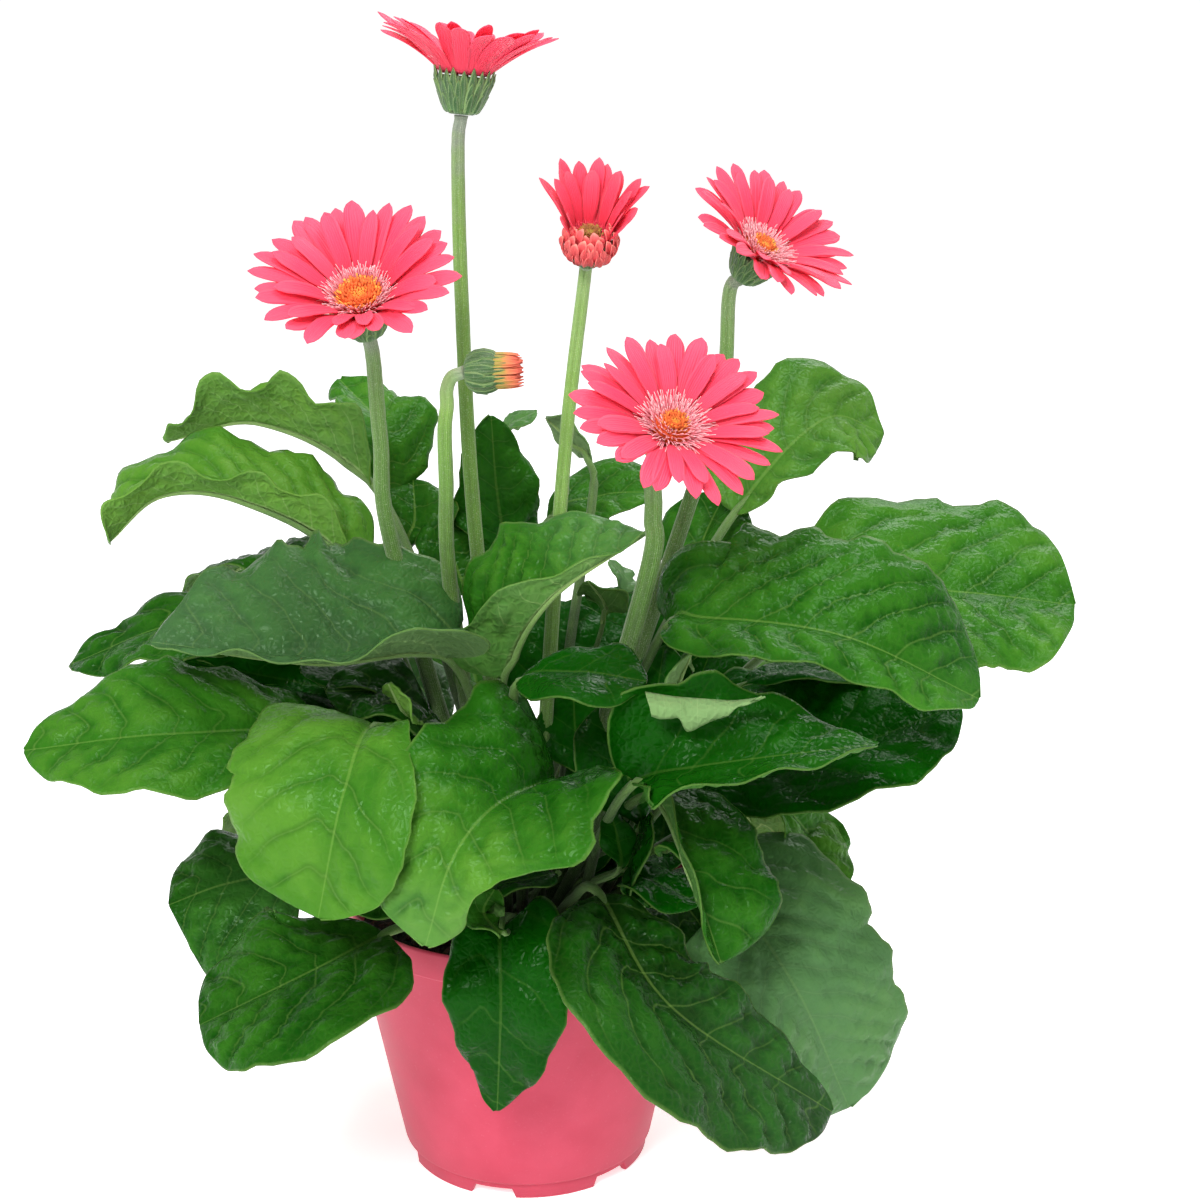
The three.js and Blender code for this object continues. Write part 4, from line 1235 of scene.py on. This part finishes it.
# the far margin of the folded leaf lies over, underside out, and its torn edge hangs in front
flap = {
    "fold": [[44, -99, 235], [55, -99, 233], [66, -99, 232], [77, -98, 231], [88, -97, 232]],
    "margin": [
        [46, -104, 227], [49, -104, 226], [53, -104, 226], [56, -104, 226],
        [59, -104, 221], [64, -104, 223], [68, -104, 225], [71, -104, 226],
        [74, -104, 227], [77, -104, 230], [81, -104, 231], [86, -104, 234],
    ],
    "bulge": 2.5,
    "veins": 7,
    "light": 0.6,
    "cast": -0.7,
}


def makeFlap():
    share = np.linspace(0, 1, 67)
    v = np.linspace(0, 1, 9)[None, :]
    fold, margin = curveAt(flap["fold"], share), curveAt(flap["margin"], share)
    place = mix(fold[:, None, :], margin[:, None, :], v[..., None])
    place = place + flap["bulge"] * np.sin(math.pi * v)[..., None] * np.array([0, -1, 0.4])
    run = share[:, None] + 0 * v
    every = 0 * run
    leafRun = np.stack([flap["veins"] * run, 0.4 + run, 0.8 * v + every], axis=-1)
    leafTone = np.stack([run, flap["light"] + every, every], axis=-1)
    bm, *layers = startMesh("leafRun", "leafTone", "leafCast")
    faces = layGrid(bm, place, list(zip(layers, (leafRun, leafTone, flap["cast"] + every))))[1]
    bm.normal_update()
    bmesh.ops.solidify(bm, geom=faces, thickness=blade["thickness"])
    finishPiece(bm, "right_folded_flap", [bladeUnder], (), slotOf["leaf_right_folded"])


for name, given in leaves.items():
    makeLeaf(name, given)
makeFlap()
for name, row in fillers.items():
    makeLeaf(name, dict(zip(fillerColumns, row)), small=True)
print("leaves made")


# ---- flowers
# route runs from the crown to the head, base is where the head's green cup begins and axis the way it
# faces. bend is the straight end of the scape under it. length, rise and droop are the ray florets',
# size scales the head, and disc is how far across the small orange florets have opened, the rest of it
# being fringe.

flowers = {
    "top": {
        "root": [4.5, 150], "route": [[-19, 5, 270], [-23, 10, 362]], "base": [-22, 10, 434],
        "axis": [0.1, 0.03, 1], "bend": 15, "radius": 3.1, "size": 1,
        "length": 30, "rise": 36, "droop": 20, "rays": 24, "disc": 0.8,
    },
    "left": {
        "root": [13, 172], "route": [[-50, -20, 265], [-54, -28, 314]], "base": [-57, -41, 358],
        "axis": [-0.12, -0.72, 1], "bend": 14, "radius": 3.3, "size": 1.04,
        "length": 30, "rise": 34, "droop": 16, "rays": 25, "disc": 0.72,
    },
    "centre": {
        "root": [4.5, 330], "route": [[11, -15, 230], [18, 0, 312]], "base": [26, 2, 378],
        "axis": [0.1, -0.6, 1], "bend": 10, "radius": 3, "size": 0.78,
        "length": 32, "rise": 56, "droop": 50, "rays": 20, "disc": 0.42,
    },
    "right": {
        "root": [13, 5], "route": [[71, -5, 297], [80, -2, 332]],
        "base": [86, -5, 373], "axis": [0.6, -0.6, 1], "bend": 9, "radius": 3.2, "size": 0.92,
        "length": 30, "rise": 30, "droop": 8, "rays": 25, "disc": 0.46,
    },
    "front": {
        "root": [13, 325], "route": [[46, -52, 260], [49, -57, 290]], "base": [51, -72, 317],
        "axis": [0.28, -0.8, 1], "bend": 12, "radius": 3.8, "size": 1,
        "length": 29, "rise": 22, "droop": 2, "rays": 26, "disc": 0.36,
    },
    "bud": {
        "root": [13, 205],
        "route": [
            [-28, -24, 249], [-29, -34, 300], [-29, -38, 320],
            [-28, -38, 329], [-28, -38, 335], [-26, -38, 340],
        ],
        "base": [-21, -38, 342], "axis": [1, -0.15, 0.06], "bend": 0, "radius": 3, "size": 1,
    },
}

head = {
    "discRadius": 10.5,
    "fringe": 124,
    "fringeReach": 7.4,
    "discFlorets": 170,
    "rayWidth": 3.6,
    "rayThickness": 0.35,
    "fringeThickness": 0.18,
    "bractThickness": 0.3,
    "innerRays": 0.5,  # share of the outer whorl's count
    # the green cup's profile, then rows of bracts: count, from and to height, proud of it, spread
    "cup": [(0, 0), (4.6, 0), (6.2, 1), (7.8, 3.8), (9.8, 9), (11.3, 13.4), (11, 14.4), (0, 14.4)],
    "bracts": [(10, 0.4, 8, 0.4, 0.2), (17, 0.8, 13, 0.25, 0.3), (20, 2, 17.6, 0.05, 0.8)],
    "bractHalf": 1.95,
}
headLow = head["cup"][-1][1] + 0.3

bud = {
    "cup": [(0, 0), (3.4, 0), (5.6, 1), (7.6, 4), (8.2, 8), (7.4, 11), (6.2, 12.5), (0, 12.5)],
    "bracts": [(9, 0.4, 9, 0.4, 0), (12, 0.6, 13, 0.2, 0), (15, 1.5, 16.5, 0.1, 0.1)],
    "bractHalf": 1.7,
    "whorls": [(18, 6.6, 1), (14, 5.2, 1.03), (10, 3.6, 1), (6, 1.8, 0.96)],  # count, radius, reach
    "length": 13.8,
}

# blunt closed florets on the near side of the half-open head
stubs = {
    "rows": [(9.8, 5, 10, 56), (11.4, 8.4, 10.5, 64), (11.4, 11.8, 10.5, 74), (9.4, 14.4, 9.5, 82)],
    "inRow": 9,
    "apart": 21,
    "half": (1.87, 2.42),
}


def makeScape(name, flower):
    axis = unit(np.array(flower["axis"], float))
    top = np.array(flower["base"], float) - 0.3 * axis
    neck = [top - flower["bend"] * axis] if flower["bend"] else []
    points = [onCrown(*flower["root"]), *flower["route"], *neck, top]
    share = np.linspace(0, 1, 72)
    forward = tangentAt(points, share)
    forward[0] = [0, 0, 1]
    forward[-1] = axis
    across = unit([1, 0, 0] - forward * forward[:, :1])
    angle = np.linspace(0, 2 * math.pi, 14, endpoint=False)
    # thicker at the foot, thinner towards the head, with a slight flare under it
    flare = mix(1.08, 0.84, share) + 0.1 * smoothStep(0.97, 1, share)
    shift = random.Random("scape " + name).uniform(0, 50)
    lump = np.array([[noise.noise(Vector((30 * a + shift, 2 * c, 0))) for c in angle] for a in share])
    radius = 0.97 * flower["radius"] * flare[:, None] * (1 + 0.035 * lump)
    radius = radius * (1 + 0.018 * np.cos(6 * angle))
    bm, layer = startMesh("stalkRun")
    centre = curveAt(points, share)
    layStalk(bm, layer, centre, across, np.cross(across, forward), radius, angle, share)
    bmesh.ops.recalc_face_normals(bm, faces=bm.faces[:])
    skin = {"top": topScapeSkin, "centre": paleScapeSkin, "bud": paleScapeSkin}.get(name, scapeSkin)
    finishPiece(bm, name + "_scape", [skin], ["scape_" + name], slotOf["scape_" + name])


# the bearings between which floret i of count stands
def spoke(i, count, stray):
    return (i - stray) * 2 * math.pi / count, (i + stray) * 2 * math.pi / count


# one strap-shaped floret in the head's own frame, laid as a grid: it starts at a radius and height and
# bends from rise to droop along its length. Of a (low, high) value chance draws one, in their order.
def layStrap(bm, layer, chance, rows, columns, **given):
    ray = {key: chance.uniform(*v) if isinstance(v, tuple) else v for key, v in given.items()}
    t = np.linspace(0, 1, rows)[:, None]
    v = np.linspace(-1, 1, columns)[None, :]
    grid = np.linspace(0, 1, 41)
    slope = np.radians(mix(ray["rise"], ray["droop"], grid))
    middle, step = (slope[1:] + slope[:-1]) / 2, ray["length"] / 40
    out = np.interp(t, grid, np.concatenate([[0], np.cumsum(np.cos(middle) * step)]))
    up = np.interp(t, grid, np.concatenate([[0], np.cumsum(np.sin(middle) * step)]))
    slope = np.interp(t, grid, slope)
    tip = np.clip((t - ray["shoulder"]) / (1 - ray["shoulder"]), 0, 1)
    width = mix(ray["neck"], 1, smoothStep(0, 0.5, t)) * (1 - tip**2.1) ** 0.7
    half = np.maximum(ray["half"] * width, 0.1)
    # grooves run along it and its sides curve
    cross = half * (ray["cup"] * v**2 + 0.05 * np.cos(3 * math.pi * v) * smoothStep(0, 0.2, t))
    twist = np.radians(ray["twist"]) * t
    sideways = v * half * np.cos(twist) - cross * np.sin(twist) + ray["sway"] * t**2
    normalwise = v * half * np.sin(twist) + cross * np.cos(twist)
    r = ray["radius"] + out - normalwise * np.sin(slope)
    z = ray["height"] + up + normalwise * np.cos(slope)
    sine, cosine = math.sin(ray["bearing"]), math.cos(ray["bearing"])
    place = np.stack([r * cosine - sideways * sine, r * sine + sideways * cosine, z], axis=-1)
    run = np.stack([t + 0 * v, v + 0 * t, ray["tint"] + 0 * t * v], axis=-1)
    return layGrid(bm, place, [(layer, run)])[1]


# thickens the florets and carries them to the head's place
def finishHead(bm, flower, name, skins, nodes, slot, florets=(), thickness=0):
    if thickness:
        bm.normal_update()
        bmesh.ops.solidify(bm, geom=florets or bm.faces[:], thickness=thickness)
    way = Vector((0, 0, 1)).rotation_difference(Vector(flower["axis"]).normalized())
    size = Matrix.Scale(flower["size"], 4)
    place = Matrix.Translation(flower["base"]) @ way.to_matrix().to_4x4() @ size
    bmesh.ops.transform(bm, matrix=place, verts=bm.verts[:])
    finishPiece(bm, name, skins, nodes, slot)


def makeRays(name, flower):
    chance = random.Random("rays " + name)
    bm, layer = startMesh("petalRun")
    young = name == "centre"
    toNear = math.atan2(-1, 0)
    inner = round(flower["rays"] * head["innerRays"])
    # the outer and the inner whorl: count, length, lift, turn, radius, height, width
    whorls = [
        (flower["rays"], 1, 0, 0, 9.3, 0.2, 1.15 if young else 1),
        (inner, 0.9, 7, 0.5, 8.2, 0.7, 1.15 if young else 0.9),
    ]
    for count, share, lift, shift, start, height, width in whorls:
        for i in range(count):
            bearing = chance.uniform(*spoke(i + shift, count, 0.24))
            length = flower["length"] * share * chance.uniform(0.9, 1.06) + 1.5
            near = math.cos(bearing - toNear)
            if young and near > 0.45:
                continue
            rise, droop = flower["rise"] + lift + 12, flower["droop"] + lift - 3
            if young:
                # the near side hasn't opened: its florets are short and stand up
                length *= mix(1, 0.5, float(smoothStep(-0.3, 0.4, near)))
                rise += 12 * max(near, 0)
                droop += 20 * max(near, 0)
            half = head["rayWidth"] * width
            layStrap(
                bm, layer, chance, 18, 9, bearing=bearing, radius=start, height=headLow + height,
                length=length, rise=(rise - 6, rise + 6), droop=(droop - 10, droop + 10),
                half=(0.86 * half, 1.1 * half), neck=0.5, shoulder=(0.7, 0.8), cup=(-0.05, 0.22),
                twist=(-18, 18), sway=(-2.2, 2.2), tint=(0, 1),
            )
    # each row of stubs starts at a radius and height, and has its length and rise
    for row, (start, height, length, rise) in enumerate(stubs["rows"] if young else ()):
        for i in range(stubs["inRow"]):
            turn = (i - stubs["inRow"] // 2 + 0.5 * (row % 2)) * stubs["apart"]
            stub = layStrap(
                bm, layer, chance, 9, 5,
                bearing=(toNear + math.radians(turn - 3), toNear + math.radians(turn + 3)),
                radius=start, height=(height - 0.8, height + 0.8), length=(0.85 * length, 1.15 * length),
                rise=rise - 14, droop=(rise + 34, rise + 50), half=stubs["half"],
                neck=0.7, shoulder=0.66, cup=-0.45, twist=(-12, 12), sway=(-1, 1), tint=(0, 1),
            )
            for face in stub:
                face.material_index = 1
    skins = [youngRaySkin, stubSkin] if young else [raySkin]
    node = "petals_" + name
    finishHead(bm, flower, name + "_rays", skins, [node], slotOf[node], thickness=head["rayThickness"])


def makeFringe(name, flower):
    chance = random.Random("fringe " + name)
    bm, layer = startMesh("petalRun")
    young = name == "centre"
    # rings of strands from the rays inwards to the open florets, shorter and steeper all the way
    rings = 2 + round(5 * (1 - flower["disc"]))
    for ring in range(rings):
        radius = mix(9, head["discRadius"] * flower["disc"] - 0.6, ring / rings)
        count = round(head["fringe"] * radius / 9.6)
        reach = head["fringeReach"] * mix(1, 0.4, ring / 5) * (0.5 if young else 1)
        rise = min(flower["rise"] + 16 + 9 * ring, 84)
        for i in range(count):
            layStrap(
                bm, layer, chance, 5, 3, bearing=spoke(i + 0.4 * ring, count, 0.35), radius=radius,
                height=headLow + 1.8 + 0.25 * ring, length=(0.7 * reach, 1.1 * reach),
                rise=(rise - 8, rise + 8), droop=(rise - 36, rise + 4), half=(0.15, 0.25), neck=0.8,
                shoulder=0.35, cup=0.2, twist=(-40, 40), sway=(-1, 1), tint=(0, 1),
            )
    skins = [youngRaySkin if young else fringeSkin]
    slot = slotOf["petals_" + name]
    finishHead(bm, flower, name + "_fringe", skins, (), slot, thickness=head["fringeThickness"])


# the disc is a dome of small tubular florets set by the golden angle
def makeDisc(name, flower):
    chance = random.Random("disc " + name)
    bm, layer = startMesh("petalRun")
    base = bmesh.ops.create_cone(
        bm, cap_ends=True, segments=32, radius1=head["discRadius"] - 0.6, radius2=6, depth=2.2,
        matrix=Matrix.Translation((0, 0, headLow + 1.6 + 1.1)),
    )["verts"]
    # the base under the florets is dark: painted shade under them
    for vertex in base:
        vertex[layer] = (0.1, 0, 0)
    count = head["discFlorets"]
    goldenAngle = math.radians(137.508)
    for i in range(count):
        share = math.sqrt((i + 0.5) / count)
        radius = (head["discRadius"] - 0.7) * share * flower["disc"]
        bearing = i * goldenAngle
        low = headLow + 1.9 + 1.8 * (1 - share**2)
        # the outer florets are open and tall, the middle ones still short buds
        tall = mix(1, 3.6, float(smoothStep(0.2, 0.8, share))) * chance.uniform(0.7, 1.15)
        lean = 0.55 * share * chance.uniform(0.3, 1.5)
        wide = 0.52 * mix(1, flower["disc"], 0.6) * chance.uniform(0.8, 1.15)
        floret = bmesh.ops.create_cone(
            bm, cap_ends=True, segments=5, radius1=0.6 * wide, radius2=wide, depth=tall,
            matrix=Matrix.Translation((radius * math.cos(bearing), radius * math.sin(bearing), low))
            @ Matrix.Rotation(bearing, 4, "Z")
            @ Matrix.Rotation(lean, 4, "Y")
            @ Matrix.Translation((0, 0, tall / 2)),
        )["verts"]
        caps = [f for f in {f for v in floret for f in v.link_faces} if len(f.verts) == 5]
        mouth = max(caps, key=lambda f: f.calc_center_median().z)
        # yellow in the middle, an orange ring, both mixed outside it
        tone = mix(1.05, 0.4, float(smoothStep(0.25, 0.55, share)))
        if share > 0.75:
            tone = chance.uniform(0.45, 1.05)
        # each floret darkens towards its foot: painted shade between the florets
        for vertex in floret:
            shade = tone * chance.uniform(0.85, 1.1) if vertex in mouth.verts else 0.3 * tone
            vertex[layer] = (shade, 0, chance.random() * share)
        bmesh.ops.inset_individual(bm, faces=[mouth], thickness=0.4 * wide)
        bmesh.ops.translate(bm, vec=(0, 0, -0.4), verts=list(mouth.verts))
        # the sunken mouth is dark: painted shade inside the floret
        for vertex in mouth.verts:
            vertex[layer] = (0.2, 0, 0)
    node = "disc_" + name
    skin = youngDiscSkin if name == "centre" else discSkin
    finishHead(bm, flower, name + "_disc", [skin], [node], slotOf[node])


# the cup, and over it whorls of pointed bracts that lie on it and part at their tips
def makeCup(name, flower, kind):
    chance = random.Random("cup " + name)
    bm, layer = startMesh("stalkRun")
    spinProfile(bm, kind["cup"], 32)
    top = kind["cup"][-1][1]
    for vertex in bm.verts:
        turn = math.atan2(vertex.co.y, vertex.co.x) / (2 * math.pi)
        vertex[layer] = (0.15 + 0.5 * vertex.co.z / top, turn, 0)
    zs, rs = zip(*sorted((z, r) for r, z in kind["cup"] if r > 2))
    t = np.linspace(0, 1, 12)[:, None]
    v = np.linspace(-1, 1, 5)[None, :]
    straps = []
    for count, low, high, proud, tilt in kind["bracts"]:
        for i in range(count):
            bearing = chance.uniform(*spoke(i + 0.5 * (count % 2), count, 0.15))
            z = mix(low, high * chance.uniform(0.9, 1.03), t)
            r = np.interp(z, zs, rs) + proud + 0.35 * (1 - v**2) + tilt * t**3
            half = kind["bractHalf"] * mix(0.7, 1, smoothStep(0, 0.5, t)) * (1 - t**3.5) ** 0.9 + 0.08
            turn = bearing + v * half / np.maximum(r, 3)
            place = np.stack([r * np.cos(turn), r * np.sin(turn), z + 0 * v], axis=-1)
            run = np.stack([t + 0 * v, 0.5 + v / 24 + 0 * t, np.abs(v) + 0 * t], axis=-1)
            straps += layGrid(bm, place, [(layer, run)])[1]
    node = "involucre_" + name
    thickness = head["bractThickness"]
    finishHead(bm, flower, name + "_cup", [bractSkin], [node], slotOf[node], straps, thickness)


def makeBud(flower):
    chance = random.Random("bud rays")
    bm, layer = startMesh("petalRun")
    for count, radius, reach in bud["whorls"]:
        length, droop = bud["length"] * reach, 90 + 14 * radius / bud["whorls"][0][1]
        for i in range(count):
            layStrap(
                bm, layer, chance, 9, 5, bearing=spoke(i, count, 0.3), radius=radius, height=8,
                length=(0.86 * length, 1.04 * length), rise=88, droop=(droop - 9, droop + 9),
                half=0.95, neck=0.9, shoulder=0.6, cup=-0.3, twist=(-8, 8), sway=(-0.4, 0.4),
                tint=(0, 0.6),
            )
    node = "petals_bud"
    finishHead(bm, flower, "bud_rays", [budRaySkin], [node], slotOf[node], thickness=head["rayThickness"])


for name, flower in flowers.items():
    makeScape(name, flower)
    if name == "bud":
        makeBud(flower)
        makeCup(name, flower, bud)
        continue
    makeRays(name, flower)
    makeFringe(name, flower)
    makeDisc(name, flower)
    makeCup(name, flower, head)
print("flowers made")


# ---- floor

floorMesh = bmesh.new()
bmesh.ops.create_circle(floorMesh, cap_ends=True, segments=96, radius=studio["floorRadius"] * 1000)
floor = finishPiece(floorMesh, "studio_floor", [paper])

print("scene ready")
